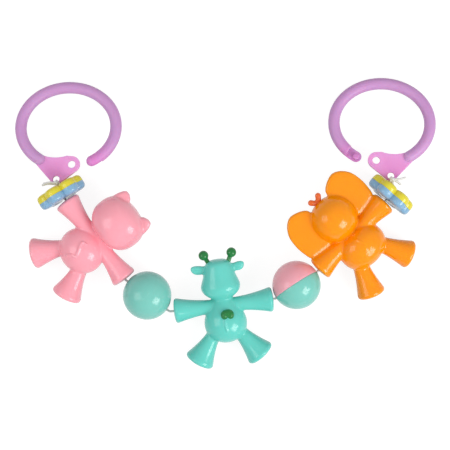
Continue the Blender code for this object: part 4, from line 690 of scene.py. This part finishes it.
# Each plastic: its colour, the deep colour of the painted shade in its creases, and the pale tone of its clouds
# and of the painted highlight on its crowns
RING_LILAC = plastic("ring_lilac", (202, 150, 204), (172, 116, 176), (212, 170, 214),
                     tint=(222, 134, 206), rough=(0.42, 0.5), bleed=0.4, reach=0.003, crease_shade_share=0.2)
PLATE_LILAC = plastic("plate_lilac", (239, 162, 221), (206, 116, 190), (242, 178, 228),
                      tint=(228, 142, 208), rough=(0.42, 0.5), bleed=0.4, reach=0.003, crease_shade_share=0.0,
                      crown_highlight_share=0.0)
YELLOW = plastic("flower_yellow", (226, 212, 60), (204, 164, 24), (234, 222, 90),
                 crease_shade_share=1.0)
BLUE = plastic("flower_blue", (134, 178, 210), (88, 134, 176), (168, 202, 224),
               crease_shade_share=1.0)
MINT = plastic("ball_mint", (124, 202, 190), (96, 184, 172), (138, 212, 200))
PINK = plastic("ball_pink", (244, 170, 182), (222, 130, 148), (248, 184, 194))
PIG_PINK = plastic("pig_pink", (255, 168, 182), (252, 142, 160), (255, 180, 192),
                   crease_shade_share=0.45)
GIRAFFE_MINT = plastic("giraffe_mint", (102, 208, 196), (62, 184, 170), (126, 218, 206))
DARK_GREEN = plastic("dark_green", (32, 124, 60), (16, 84, 38), (50, 140, 76), bleed=0.1)
ORANGE = plastic("orange", (255, 150, 0), (252, 126, 0), (255, 160, 4),
                 crease_shade_share=0.45)
DARK_ORANGE = plastic("dark_orange", (240, 110, 46), (220, 80, 26), (248, 134, 62))
# The cord: its colour, and the deep colour of its darker fibres and of the painted shade in its creases
CORD = woven("elastic_cord", (238, 238, 236), (204, 204, 202))
PELLET = plastic("pellet", (214, 212, 204), (180, 178, 170), (230, 228, 222),
                 rough=(0.45, 0.6), bleed=0.1)


def floor_depth(y, tilt):
    """How far under its seam plane an animal's point at y meets the floor."""
    return (AXIS_HEIGHT - SNOUT_FLOOR_GAP + y * math.sin(tilt)) / math.cos(tilt)


def blob_height(blob, x, y):
    """The height of a blob's skin over the seam plane."""
    share = max(0, 1 - abs((y - blob.middle) / blob.half_height) ** blob.power) ** (1 / blob.power)
    return blob.half_depth * math.sqrt(max(0, share ** 2 - (x / blob.half_width) ** 2))


def limbs(animal):
    """Both arms as one bar along x, and the two legs."""
    half = flared(animal.hand_reach, animal.arm_radius, animal.hand_radius, HAND_RIM_ROUND, HAND_BULGE,
                  ARM_FLARE_POWER)
    made = [at(turned([(-y, r) for y, r in half[:0:-1]] + half), aimed((1, 0, 0)))]
    for sign in (-1, 1):
        hip = Vector((sign * animal.hip_x, -animal.hip_drop, 0))
        way = Vector((sign * animal.foot_x, -animal.foot_drop, 0)) - hip
        profile = flared(way.length + SOLE_RIM_ROUND + SOLE_BULGE, animal.leg_radius, animal.foot_radius,
                         SOLE_RIM_ROUND, SOLE_BULGE, LEG_FLARE_POWER)
        made.append(at(turned(profile), aimed(way, hip)))
    return made


def bore(reach):
    """The cord's way through a piece, along x."""
    ends = reach + CUT_OVERRUN
    return at(turned([(-ends, CORD_BORE_RADIUS), (ends, CORD_BORE_RADIUS)], SMALL_SIDES), aimed((1, 0, 0)))


def snout(radius, y, tilt, top_depth):
    """A short round snout on the front of a head, down to the floor."""
    depth = floor_depth(y - radius, tilt)
    near_foot, foot = SNOUT_FOOT_SHARES
    levels = [(1, -top_depth), (1, SNOUT_FOOT_RISE - depth), (near_foot, SNOUT_FOOT_RISE / 3 - depth),
              (foot, -depth)]
    return loft([[Vector((radius * share * math.cos(t), y + radius * share * math.sin(t), z)) for t in circle(32)]
                 for share, z in levels])


def eyes(x, y, depth):
    return [ball_mesh(EYE_RADIUS, Vector((sign * x, y, -depth + EYE_SUNK))) for sign in (-1, 1)]


def relief(shares, size, middle, radii, proud, height, steps=6):
    """A raised line that stands proud of a back; height gives the back's height at x and y."""
    line = smooth_line([(x * size, y * size + middle) for x, y in shares], steps)
    widths = [r for (r,) in smooth_line([(r,) for r in radii], steps)]
    return tube([Vector((x, y, height(x, y) + proud - r)) for (x, y), r in zip(line, widths)], widths, 16)


def figure(name, forms, details, cutters, matrix, material, slot):
    """An animal melted from its forms and cut into its back and front shells."""
    whole = melted(forms, FORM_VOXEL, FORM_ROUNDS)
    whole = melted([whole] + details, DETAIL_VOXEL, DETAIL_ROUNDS)
    whole = cut_with(whole, cutters)
    for side, half in zip(("back", "front"), parted(whole, Vector((0, 0, 1)))):
        show(f"{name}_{side}", at(half, matrix), name, material, slot, f"{name}_{side}_shell")


def pig_ear(sign):
    low = PIG_EAR_OUTLINE[0][1]
    middle = (PIG_EAR_OUTLINE[0][0] + PIG_EAR_OUTLINE[-1][0]) / 2
    outline = smooth_line(PIG_EAR_OUTLINE, 5)
    return loft([[Vector((sign * (middle + (x - middle) * share), low + (y - low) * (1 + share) / 2,
                          level * PIG_EAR_HALF_THICKNESS)) for x, y in outline]
                 for level, share in PIG_EAR_LEVEL_SHARES])


def pig():
    tilt = resting_tilt(PIG)
    forms = [blob_mesh(PIG.torso), blob_mesh(PIG.head)] + limbs(PIG) + [pig_ear(-1), pig_ear(1)]
    forms.append(snout(PIG_SNOUT_RADIUS, PIG_SNOUT_RISE, tilt, PIG.head.half_depth * SNOUT_ROOT_SHARE))
    tail = relief(PIG_TAIL_SHARES, PIG_TAIL_LENGTH, PIG.torso.middle, PIG_TAIL_RADII, PIG_TAIL_PROUD,
                  lambda x, y: blob_height(PIG.torso, x, y))
    floor = -floor_depth(PIG_SNOUT_RISE, tilt)
    nostrils = [disc(NOSTRIL_RADIUS, floor - CUT_OVERRUN, floor + NOSTRIL_RADIUS * NOSTRIL_DEPTH_SHARE,
                     (sign * PIG_SNOUT_RADIUS * NOSTRIL_SPACING_SHARE, PIG_SNOUT_RISE), SMALL_SIDES)
                for sign in (-1, 1)]
    figure("pig", forms, [tail] + eyes(*PIG_EYE, blob_height(PIG.head, *PIG_EYE)),
           [bore(PIG.hand_reach)] + nostrils, lying("pig_spin", tilt), PIG_PINK, "pig_pink")


def giraffe_ear(sign):
    rings = []
    for out, lift, width in smooth_line(GIRAFFE_EAR_SHARES, 4):
        x = sign * (GIRAFFE_EAR_X + GIRAFFE_EAR_LENGTHS[sign] * out)
        rings.append([Vector((x, GIRAFFE_EAR_RISE + GIRAFFE_EAR_HALF_WIDTH * (lift + width * math.sin(t)),
                              GIRAFFE_EAR_HALF_THICKNESS * width * math.cos(t)))
                      for t in circle(SMALL_SIDES)])
    return loft(rings)


def giraffe():
    tilt = resting_tilt(GIRAFFE)
    matrix = lying("giraffe_on_cord", tilt)
    body = shared_profile(TORSO_PEAR_SHARES, GIRAFFE.torso_bottom, GIRAFFE.neck_top, GIRAFFE.torso_half_width)
    face = shared_profile(GIRAFFE_HEAD_SHARES, GIRAFFE.chin_rise, GIRAFFE.crown_rise, GIRAFFE.muzzle_half_width)
    flatness = GIRAFFE.torso_half_depth / GIRAFFE.torso_half_width
    forms = [turned(body, BODY_SIDES, flatness),
             at(turned(face, BODY_SIDES, GIRAFFE.head_half_depth / GIRAFFE.muzzle_half_width),
                Matrix.Translation((GIRAFFE_HEAD_X, 0, 0)))]
    forms += limbs(GIRAFFE) + [giraffe_ear(-1), giraffe_ear(1)]
    forms.append(snout(GIRAFFE_MUZZLE_RADIUS, GIRAFFE_MUZZLE_RISE, tilt, GIRAFFE_MUZZLE_RADIUS))

    def back(x, y):
        for (low, low_width), (high, high_width) in zip(body, body[1:]):
            if low <= y <= high:
                width = low_width + (high_width - low_width) * (y - low) / (high - low)
        return flatness * math.sqrt(max(0, width ** 2 - x ** 2))

    drop = [(x, -y) for x, y in GIRAFFE_TAIL_SHARES]
    tail = relief(drop, GIRAFFE_TAIL_LENGTH, TUFT_MIDDLE[1], GIRAFFE_TAIL_RADII, GIRAFFE_TAIL_PROUD, back)
    figure("giraffe", forms, [tail] + eyes(*GIRAFFE_EYE), [bore(GIRAFFE.hand_reach)], matrix,
           GIRAFFE_MINT, "giraffe_mint")
    giraffe_horns(matrix)
    giraffe_tuft(matrix, back(0, TUFT_MIDDLE[1]))


def giraffe_horns(matrix):
    for side, sign in (("left", -1), ("right", 1)):
        foot = Vector((sign * HORN_FOOT[0], HORN_FOOT[1], 0))
        top = Vector((sign * HORN_TOP[0], HORN_TOP[1], 0))
        stem = tube([foot.lerp(top, share) for share in HORN_STEM_SHARES], HORN_STEM_RADIUS, SMALL_SIDES)
        horn = melted([stem, ball_mesh(HORN_BALL_RADIUS, top)], FINE_VOXEL, FINE_ROUNDS)
        show(f"giraffe_horn_{side}_ball", at(horn, matrix), "giraffe", DARK_GREEN, "dark_green",
             f"giraffe_horn_{side}")


def giraffe_tuft(matrix, height):
    """The leaf of three lobes at the end of the tail, on the back at that height."""
    lobes = []
    for x, y, half_width, half_height in TUFT_LOBES:
        lobe = turned(superellipse(half_width, half_height, 0, TUFT_POWER), 32, TUFT_DEPTH / half_width)
        spot = (TUFT_MIDDLE[0] + x, TUFT_MIDDLE[1] + y, height - TUFT_DEPTH * TUFT_SUNK_SHARE)
        lobes.append(at(lobe, Matrix.Translation(spot)))
    show("giraffe_tail_tuft_leaf", at(melted(lobes, FINE_VOXEL, FINE_ROUNDS), matrix), "giraffe", DARK_GREEN,
         "dark_green", "giraffe_tail_tuft")


def elephant_ear(sign):
    outline = smooth_line(ELEPHANT_EAR_SHARES, 5)
    return loft([[Vector((sign * (ELEPHANT_EAR_MIDDLE[0] + ELEPHANT_EAR_HALF_WIDTH * share * out),
                          ELEPHANT_EAR_MIDDLE[1] + ELEPHANT_EAR_HALF_HEIGHT * share * up,
                          level * ELEPHANT_EAR_HALF_THICKNESS)) for out, up in outline]
                 for level, share in EAR_LEVEL_SHARES])


def trunk(tilt, steps=16):
    """A tapering trunk that leaves the middle of the face and lies along the floor towards the chest."""
    points, radii = [], []
    for k in range(steps + 1):
        share = k / steps
        radius = TRUNK_RADII[0] + (TRUNK_RADII[1] - TRUNK_RADII[0]) * share
        y = ELEPHANT.head.middle - TRUNK_LENGTH * math.sin(share * math.pi / 2)
        low = radius - floor_depth(y - radius, tilt)
        points.append(Vector((0, y, -TRUNK_ROOT_DEPTH + (low + TRUNK_ROOT_DEPTH) * min(1, share * 2))))
        radii.append(radius)
    return tube(points, radii, 28)


def elephant():
    tilt = resting_tilt(ELEPHANT)
    matrix = lying("elephant_spin", tilt)
    forms = [blob_mesh(ELEPHANT.torso), blob_mesh(ELEPHANT.head)] + limbs(ELEPHANT)
    forms += [elephant_ear(-1), elephant_ear(1), trunk(tilt)]
    tail = relief(ELEPHANT_TAIL_SHARES, ELEPHANT_TAIL_LENGTH, ELEPHANT.torso.middle + ELEPHANT_TAIL_RISE,
                  ELEPHANT_TAIL_RADII, ELEPHANT_TAIL_PROUD, lambda x, y: blob_height(ELEPHANT.torso, x, y))
    figure("elephant", forms, [tail] + eyes(*ELEPHANT_EYE, blob_height(ELEPHANT.head, *ELEPHANT_EYE)),
           [bore(ELEPHANT.hand_reach)], matrix, ORANGE, "orange")

    locks = [tube([Vector((0, HAIR_CROWN - HAIR_PEG_RADIUS * 2, 0)), Vector((0, HAIR_FOOT[1], 0))],
                  HAIR_PEG_RADIUS)]
    for sign in (-1, 1):
        foot = Vector((sign * HAIR_FOOT[0], HAIR_FOOT[1], 0))
        top = Vector((sign * HAIR_TOP[0], HAIR_TOP[1], 0))
        locks.append(tube([foot, foot.lerp(top, 0.5), top], HAIR_RADII))
    show("elephant_hair_locks", at(melted(locks, FINE_VOXEL, HAIR_ROUNDS), matrix), "elephant", DARK_ORANGE,
         "dark_orange", "elephant_hair")


def ball(side):
    """Two half shells that meet on a seam through the cord."""
    matrix = lying(f"{side}_ball_spin", BALL_ROLLS[side])
    inner = BALL_RADIUS - BALL_WALL
    low = SEAM_GAP / 2
    start = math.asin((low + BALL_EDGE_ROUND) / BALL_RADIUS)
    profile = [(inner, low), (BALL_RADIUS - BALL_EDGE_ROUND, low)]
    for k in range(BALL_OUTER_STEPS + 1):
        turn = start + (math.pi / 2 - start) * k / BALL_OUTER_STEPS
        profile.append((BALL_RADIUS * math.cos(turn), BALL_RADIUS * math.sin(turn)))
    for k in range(BALL_INNER_STEPS):
        turn = math.pi / 2 * (1 - k / BALL_INNER_STEPS)
        profile.append((inner * math.cos(turn), inner * math.sin(turn)))
    for name, material, sign in (("mint", MINT, 1), ("pink", PINK, -1)):
        rings = []
        for radius, z in profile:
            if radius < POLE_RADIUS:
                rings.append([Vector((0, 0, sign * z))])
            else:
                rings.append([Vector((radius * math.cos(t), radius * math.sin(t), sign * z))
                              for t in circle(BALL_SIDES)])
        shell = cut_with(loft(rings, closed=True), [bore(BALL_RADIUS)])
        show(f"ball_{side}_{name}", at(shell, matrix), f"{side}_ball", material, name,
             f"ball_{side}_{name}_half")


def flower(side, sign):
    """A disc of pillowed petals in two halves: blue towards the animal, yellow and dished towards the hook."""
    matrix = lying(f"{side}_flower_spin", FLOWER_ROLLS[side])
    thick = FLOWER_HALF_THICKNESS
    to_x = aimed((1, 0, 0))
    hub = superellipse(FLOWER_HUB_RADIUS, thick * FLOWER_HUB_SHARE, 0, FLOWER_HUB_POWER)
    forms = [at(turned(hub, BODY_SIDES), to_x)]
    for t in circle(PETAL_COUNT):
        spot = Vector((0, math.cos(t), math.sin(t))) * PETAL_CENTRE_RADIUS
        petal = turned(superellipse(PETAL_RADIUS, thick, 0, PETAL_POWER), BODY_SIDES)
        forms.append(at(petal, Matrix.Translation(spot) @ to_x))
    whole = melted(forms, FLOWER_VOXEL, FLOWER_ROUNDS)
    floor = thick - FLOWER_DISH_DEPTH
    round_off = FLOWER_DISH_DEPTH / 2
    dish = turned([(sign * floor, FLOWER_DISH_RADIUS - round_off),
                   (sign * (floor + round_off / 4), FLOWER_DISH_RADIUS - round_off / 3),
                   (sign * (floor + round_off), FLOWER_DISH_RADIUS),
                   (sign * (thick + CUT_OVERRUN), FLOWER_DISH_RADIUS)], BODY_SIDES)
    whole = cut_with(whole, [bore(thick), at(dish, to_x)])
    yellow, blue = parted(whole, Vector((sign, 0, 0)))
    for name, half, material in (("yellow", yellow, YELLOW), ("blue", blue, BLUE)):
        show(f"flower_{side}_{name}_petals", at(half, matrix), f"{side}_flower", material, name,
             f"flower_{side}_{name}")


def pellets(side):
    """The loose pellets in a ball keep their meshes from the CAD and get their plastic."""
    for k in range(1, PELLET_COUNT + 1):
        pellet = frame["nodes"][f"pellet_{side}_{k}"]
        pellet.data.materials.clear()
        pellet.data.materials.append(PELLET)


def braided(points, radius, step=0.00016, sides=16):
    """A cord along points whose skin has the diamonds of a braid."""
    points = [Vector(p) for p in points]
    fine = [points[0]]
    for a, b in zip(points, points[1:]):
        count = max(1, round((b - a).length / step))
        fine += [a.lerp(b, k / count) for k in range(1, count + 1)]
    rings = []
    along = 0.0
    last = fine[0]
    for point, _, spokes in travelling_rings(fine, sides):
        along += (point - last).length
        last = point
        turn = BRAID_PITCH * along
        swells = [BRAID_DEPTH_SHARE * math.cos(BRAID_WAVES * t + turn) * math.cos(BRAID_WAVES * t - turn)
                  for t in circle(sides)]
        rings.append([point + spoke * radius * (1 + swell) for spoke, swell in zip(spokes, swells)])
    start = (fine[0] - fine[1]).normalized() * radius / 4
    end = (fine[-1] - fine[-2]).normalized() * radius / 4
    return loft([[fine[0] + start]] + rings + [[fine[-1] + end]])


def cords():
    """The straight stretches of the cord, and the short bends between them."""
    for name, (first, last, body) in STRETCHES.items():
        start, end = joint_spot(first), joint_spot(last)
        gap = (end - start).normalized() * CORD_RADIUS * STRETCH_GAP_SHARE
        show(f"cord_{name}_braid", braided([start + gap, end - gap], CORD_RADIUS), body, CORD, "cord",
             f"cord_{name}")
    for name, (before, after) in BENDS.items():
        spot = joint_spot(name)
        way_in = (spot - joint_spot(before)).normalized()
        way_out = (joint_spot(after) - spot).normalized()
        line = [spot - way_in * BEND_REACH, spot - way_in * BEND_REACH / 2,
                spot + (way_out - way_in) * BEND_REACH / 8,
                spot + way_out * BEND_REACH / 2, spot + way_out * BEND_REACH]
        mesh = braided(smooth_line([tuple(p) for p in line], 3), CORD_RADIUS * BEND_RADIUS_SHARE)
        piece = linked(f"cord_{name}", mesh)
        mesh.materials.append(CORD)
        mesh.shade_smooth()
        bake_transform(piece)


def frayed_end(end, before):
    """Loose threads at a cut end of the cord."""
    way = (end - before).normalized()
    across = way.orthogonal().normalized()
    threads = []
    for k in range(THREAD_COUNT):
        turn = THREAD_TURN * k
        lean = across * math.cos(turn) + way.cross(across) * math.sin(turn)
        spread_out = CORD_RADIUS * THREAD_SPREAD_SHARE * math.sqrt(k / THREAD_COUNT)
        root = end - way * CORD_RADIUS / 3 + lean * spread_out
        length = CORD_RADIUS * THREAD_LENGTH_SHARES[k % len(THREAD_LENGTH_SHARES)]
        tip = root + way * length + lean * CORD_RADIUS * THREAD_LEAN_SHARE
        threads.append(tube([root, root.lerp(tip, 0.5), tip],
                            [CORD_RADIUS * share for share in THREAD_RADIUS_SHARES], 6))
    return threads


def knot(side, sign):
    """The cord's end loop through a hook's hole, wound on itself, with its two cut tails."""
    pivot = joint_spot(f"{side}_knot_bend")
    loop_middle = joint_spot(f"{side}_hook_fold")
    x_way = (pivot - loop_middle).normalized()
    y_way = Vector((-x_way.y, x_way.x, 0))

    def world(x, y, z):
        return loop_middle + x_way * x + y_way * y + Vector((0, 0, z))

    loop = [world(LOOP_RADIUS * math.cos(t), 0, LOOP_RADIUS * math.sin(t))
            for t in [KNOT_LIFT + math.tau * k / LOOP_STEPS for k in range(LOOP_STEPS + 1)]]
    neck_end = (pivot - loop_middle).length - CORD_RADIUS / 2
    strands = [braided(loop, CORD_RADIUS),
               braided([world(LOOP_RADIUS - CORD_RADIUS / 3, 0, 0), world(neck_end, 0, 0)], CORD_RADIUS)]
    lump = Vector((math.cos(KNOT_LIFT), 0, math.sin(KNOT_LIFT))) * (LOOP_RADIUS + CORD_RADIUS + KNOT_RISE)
    helix = []
    steps = KNOT_TURNS * KNOT_TURN_STEPS
    for k in range(steps + 1):
        t = math.tau * k / KNOT_TURN_STEPS
        helix.append(world(lump.x + KNOT_TURN_RADIUS * math.cos(t), KNOT_WIDTH * (k / steps - 0.5),
                           lump.z + KNOT_TURN_RADIUS * math.sin(t)))
    strands.append(braided(helix, CORD_RADIUS))
    cross = [world(lump.x + x * CORD_RADIUS, y * CORD_RADIUS, lump.z + z * CORD_RADIUS)
             for x, y, z in smooth_line(OVERLAY_SHARES, 5)]
    strands.append(braided(cross, CORD_RADIUS))
    for back, out, height in TAIL_SHARES[side]:
        tail = []
        for step in range(TAIL_STEPS + 1):
            share = step / TAIL_STEPS
            wave = CORD_RADIUS * TAIL_WAVE_SHARE * math.sin(share * TAIL_WAVE_LENGTH + back * TAIL_WAVE_START)
            tail.append(world(lump.x - TAIL_LENGTH * back * share + wave, sign * TAIL_LENGTH * out * share,
                              lump.z + CORD_RADIUS * height + TAIL_RISE * math.sin(share * math.pi)
                              - CORD_RADIUS * share ** 2))
        strands.append(braided(tail, TAIL_RADIUS))
        strands += frayed_end(tail[-1], tail[-2])
    show(f"knot_{side}_winding", joined(strands), f"{side}_knot", CORD, "cord", f"knot_{side}")


def ring_point(turn):
    return Vector((RING_HALF_WIDTH * math.cos(turn), RING_HALF_HEIGHT * math.sin(turn), 0))


def tangent_outline(circles, arc_steps):
    """The outline of a sheet stretched round circles given counter-clockwise as (x, y, radius)."""
    spans = []
    for k, (x, y, radius) in enumerate(circles):
        next_x, next_y, next_radius = circles[(k + 1) % len(circles)]
        way = math.atan2(next_y - y, next_x - x)
        spans.append(way - math.acos((radius - next_radius) / math.hypot(next_x - x, next_y - y)))
    outline = []
    for k, (x, y, radius) in enumerate(circles):
        start, end = spans[k - 1], spans[k]
        while end < start:
            end += math.tau
        outline += [(x + radius * math.cos(start + (end - start) * step / arc_steps),
                     y + radius * math.sin(start + (end - start) * step / arc_steps))
                    for step in range(arc_steps + 1)]
    return outline


def hook_place(side):
    """A hook on its loop of cord, tilted until the far side of its ring lies on the floor."""
    loop = joint_spot(f"{side}_hook_fold")
    to_loop = (joint_spot(f"{side}_knot_bend") - loop).normalized()
    flip = -1 if side == "right" else 1
    axis_to_hole = CORD_HOLE_RADIUS + CORD_BRIDGE / 2
    middle = Vector((-CORD_HOLE[0] * flip, -CORD_HOLE[1], 0))
    furthest = axis_to_hole - middle.dot(to_loop) + math.hypot(RING_HALF_WIDTH * to_loop.x,
                                                               RING_HALF_HEIGHT * to_loop.y)
    tilt = math.asin((AXIS_HEIGHT - RING_BAR_RADIUS - FLOOR_GAP) / furthest)
    fold = Matrix.Rotation(-tilt, 4, Vector((0, 0, 1)).cross(to_loop))
    turn = Matrix.Rotation(HOOK_TURNS[side], 4, "Z") @ Matrix.Rotation(math.pi if flip < 0 else 0, 4, "Y")
    hole = turn @ Vector((*CORD_HOLE, 0))
    return Matrix.Translation(loop) @ fold @ Matrix.Translation(-to_loop * axis_to_hole - hole) @ turn


def tinted(mesh, share):
    """Stores how far each point of the mesh takes its material's tint."""
    values = [min(1.0, max(0.0, share(v.co))) for v in mesh.vertices]
    mesh.attributes.new("tint", "FLOAT", "POINT").data.foreach_set("value", values)
    return mesh


def plate_mesh():
    """The flat plate, waisted towards the ring, with its cord hole and its snap hole."""
    half = PLATE_THICKNESS / 2
    root = ring_point(RING_START)
    outline = tangent_outline([(*CORD_HOLE, CORD_HOLE_RADIUS + CORD_BRIDGE), (*SNAP_HOLE, LOBE_RADIUS),
                               (root.x, root.y, RING_BAR_RADIUS)], PLATE_ARC_STEPS)
    sheet = loft([[Vector((x, y, z)) for x, y in outline] for z in (-half, half)])
    chord = (Vector((SNAP_HOLE[0], SNAP_HOLE[1] + LOBE_RADIUS)) + Vector((root.x, root.y + RING_BAR_RADIUS))) / 2
    bite = disc(PLATE_BITE_RADIUS, -CUT_OVERRUN, CUT_OVERRUN,
                (chord.x, chord.y - PLATE_BITE_DEPTH + PLATE_BITE_RADIUS), PLATE_BITE_SIDES)
    holes = [disc(CORD_HOLE_RADIUS, -CUT_OVERRUN, CUT_OVERRUN, CORD_HOLE),
             disc(SNAP_HOLE_RADIUS, -CUT_OVERRUN, CUT_OVERRUN, SNAP_HOLE)]
    sheet = rounded(cut_with(sheet, [bite] + holes), PLATE_EDGE_ROUND, 4)
    skin = bmesh.new()
    skin.from_mesh(sheet)
    flats = [face for face in skin.faces if abs(face.normal.z) > FLAT_NORMAL]
    bmesh.ops.inset_region(skin, faces=flats, thickness=PLATE_EDGE_ROUND / 4)
    skin.to_mesh(sheet)
    skin.free()
    return tinted(sheet, lambda p: PLATE_TINT_FULL - (p.xy - Vector(CORD_HOLE)).length / PLATE_TINT_REACH)


def hook(side):
    """A round-bar C ring with a flat plate at one end and a snap tongue with its stud at the other."""
    matrix = hook_place(side)
    body = f"{side}_hook"
    show(f"hook_{side}_plate", at(plate_mesh(), matrix), body, PLATE_LILAC, "lilac", f"hook_{side}")

    sweep = RING_START - RING_END
    bar = tube([ring_point(RING_START - sweep * k / RING_STEPS) for k in range(RING_STEPS + 1)],
               RING_BAR_RADIUS, RING_SIDES)
    end = ring_point(RING_END)
    back = (ring_point(RING_END + math.radians(1)) - end).normalized()
    flat = PLATE_THICKNESS / 2 + FLOOR_GAP
    turn = Matrix.Translation(end) @ Matrix.Rotation(math.atan2(-back.y, -back.x), 4, "Z")
    reach = RING_BAR_RADIUS * 2
    below = at(block((-TONGUE_LENGTH, -reach, -reach), (reach, reach, flat)), turn)
    bar = rounded(cut_with(bar, [below]), TONGUE_EDGE_ROUND, 3, TONGUE_EDGE_ANGLE)

    def near_end(point):
        angle = math.atan2(point.y / RING_HALF_HEIGHT, point.x / RING_HALF_WIDTH)
        return 1 - abs(angle - RING_END) / RING_TINT_ANGLE

    stud = loft([[Vector((end.x + STUD_RADIUS * share * math.cos(t), end.y + STUD_RADIUS * share * math.sin(t), z))
                  for t in circle(RING_SIDES)]
                 for share, z in ((STUD_FOOT_SHARE, -flat), (1, -flat * STUD_FOOT_HEIGHT_SHARE),
                                  (1, flat + STUD_RADIUS / 3))])
    ring = tinted(joined([bar, stud]), near_end)
    show(f"hook_{side}_ring", at(ring, matrix), body, RING_LILAC, "lilac")


def floor_material():
    """White paper that shows white to the camera and in reflections, and keeps the shadows."""
    made = bpy.data.materials.new("floor_white")
    made.use_nodes = True
    tree = made.node_tree
    tree.nodes.remove(tree.nodes["Principled BSDF"])
    path = node(tree, "LightPath")
    seen = node(tree, "Math", {0: path.outputs["Is Camera Ray"], 1: path.outputs["Is Glossy Ray"]},
                operation="MAXIMUM").outputs[0]
    seen = node(tree, "Math", {0: seen, 1: path.outputs["Is Transmission Ray"]}, operation="MAXIMUM").outputs[0]
    white = node(tree, "BsdfDiffuse", {"Color": (FLOOR_SHADE, FLOOR_SHADE, FLOOR_SHADE, 1.0)})
    strength = node(tree, "Math", {0: seen, 1: FLOOR_LIFT}, operation="MULTIPLY").outputs[0]
    lift = node(tree, "Emission", {"Color": (1, 1, 1, 1), "Strength": strength})
    both = node(tree, "AddShader", {0: white.outputs[0], 1: lift.outputs[0]})
    tree.links.new(both.outputs[0], tree.nodes["Material Output"].inputs["Surface"])
    return made


def stage():
    size = FLOOR_HALF_SIZE
    paper = bpy.data.meshes.new("floor")
    paper.from_pydata([(-size, -size, 0), (size, -size, 0), (size, size, 0), (-size, size, 0)], [], [(0, 1, 2, 3)])
    paper.materials.append(floor_material())
    objects = [linked("floor", paper)]
    for name, (place, side, brightness) in LAMPS.items():
        data = bpy.data.lights.new(name, "AREA")
        data.shape = "SQUARE"
        data.size = side
        data.energy = brightness * math.pi * side ** 2
        way = Vector(place) - Vector((0, 0, AXIS_HEIGHT))
        lamp = linked(name, data)
        lamp.matrix_world = Matrix.Translation(place) @ way.to_track_quat("Z", "Y").to_matrix().to_4x4()
        objects.append(lamp)

    world = bpy.data.worlds.new("studio")
    world.use_nodes = True
    world.node_tree.nodes["Background"].inputs["Color"].default_value = (1, 1, 1, 1)
    world.node_tree.nodes["Background"].inputs["Strength"].default_value = WORLD_STRENGTH
    bpy.context.scene.world = world

    data = bpy.data.cameras.new("camera")
    data.sensor_width = CAMERA_SENSOR
    data.lens = CAMERA_LENS
    camera = linked("camera", data)
    camera.location = CAMERA_PLACE
    bpy.context.scene.camera = camera
    objects.append(camera)
    bpy.context.scene.view_settings.view_transform = "Standard"


pig()
giraffe()
elephant()
for side in ("left", "right"):
    ball(side)
for side, sign in (("left", -1), ("right", 1)):
    flower(side, sign)
    knot(side, sign)
    hook(side)
    pellets(side)
cords()
stage()
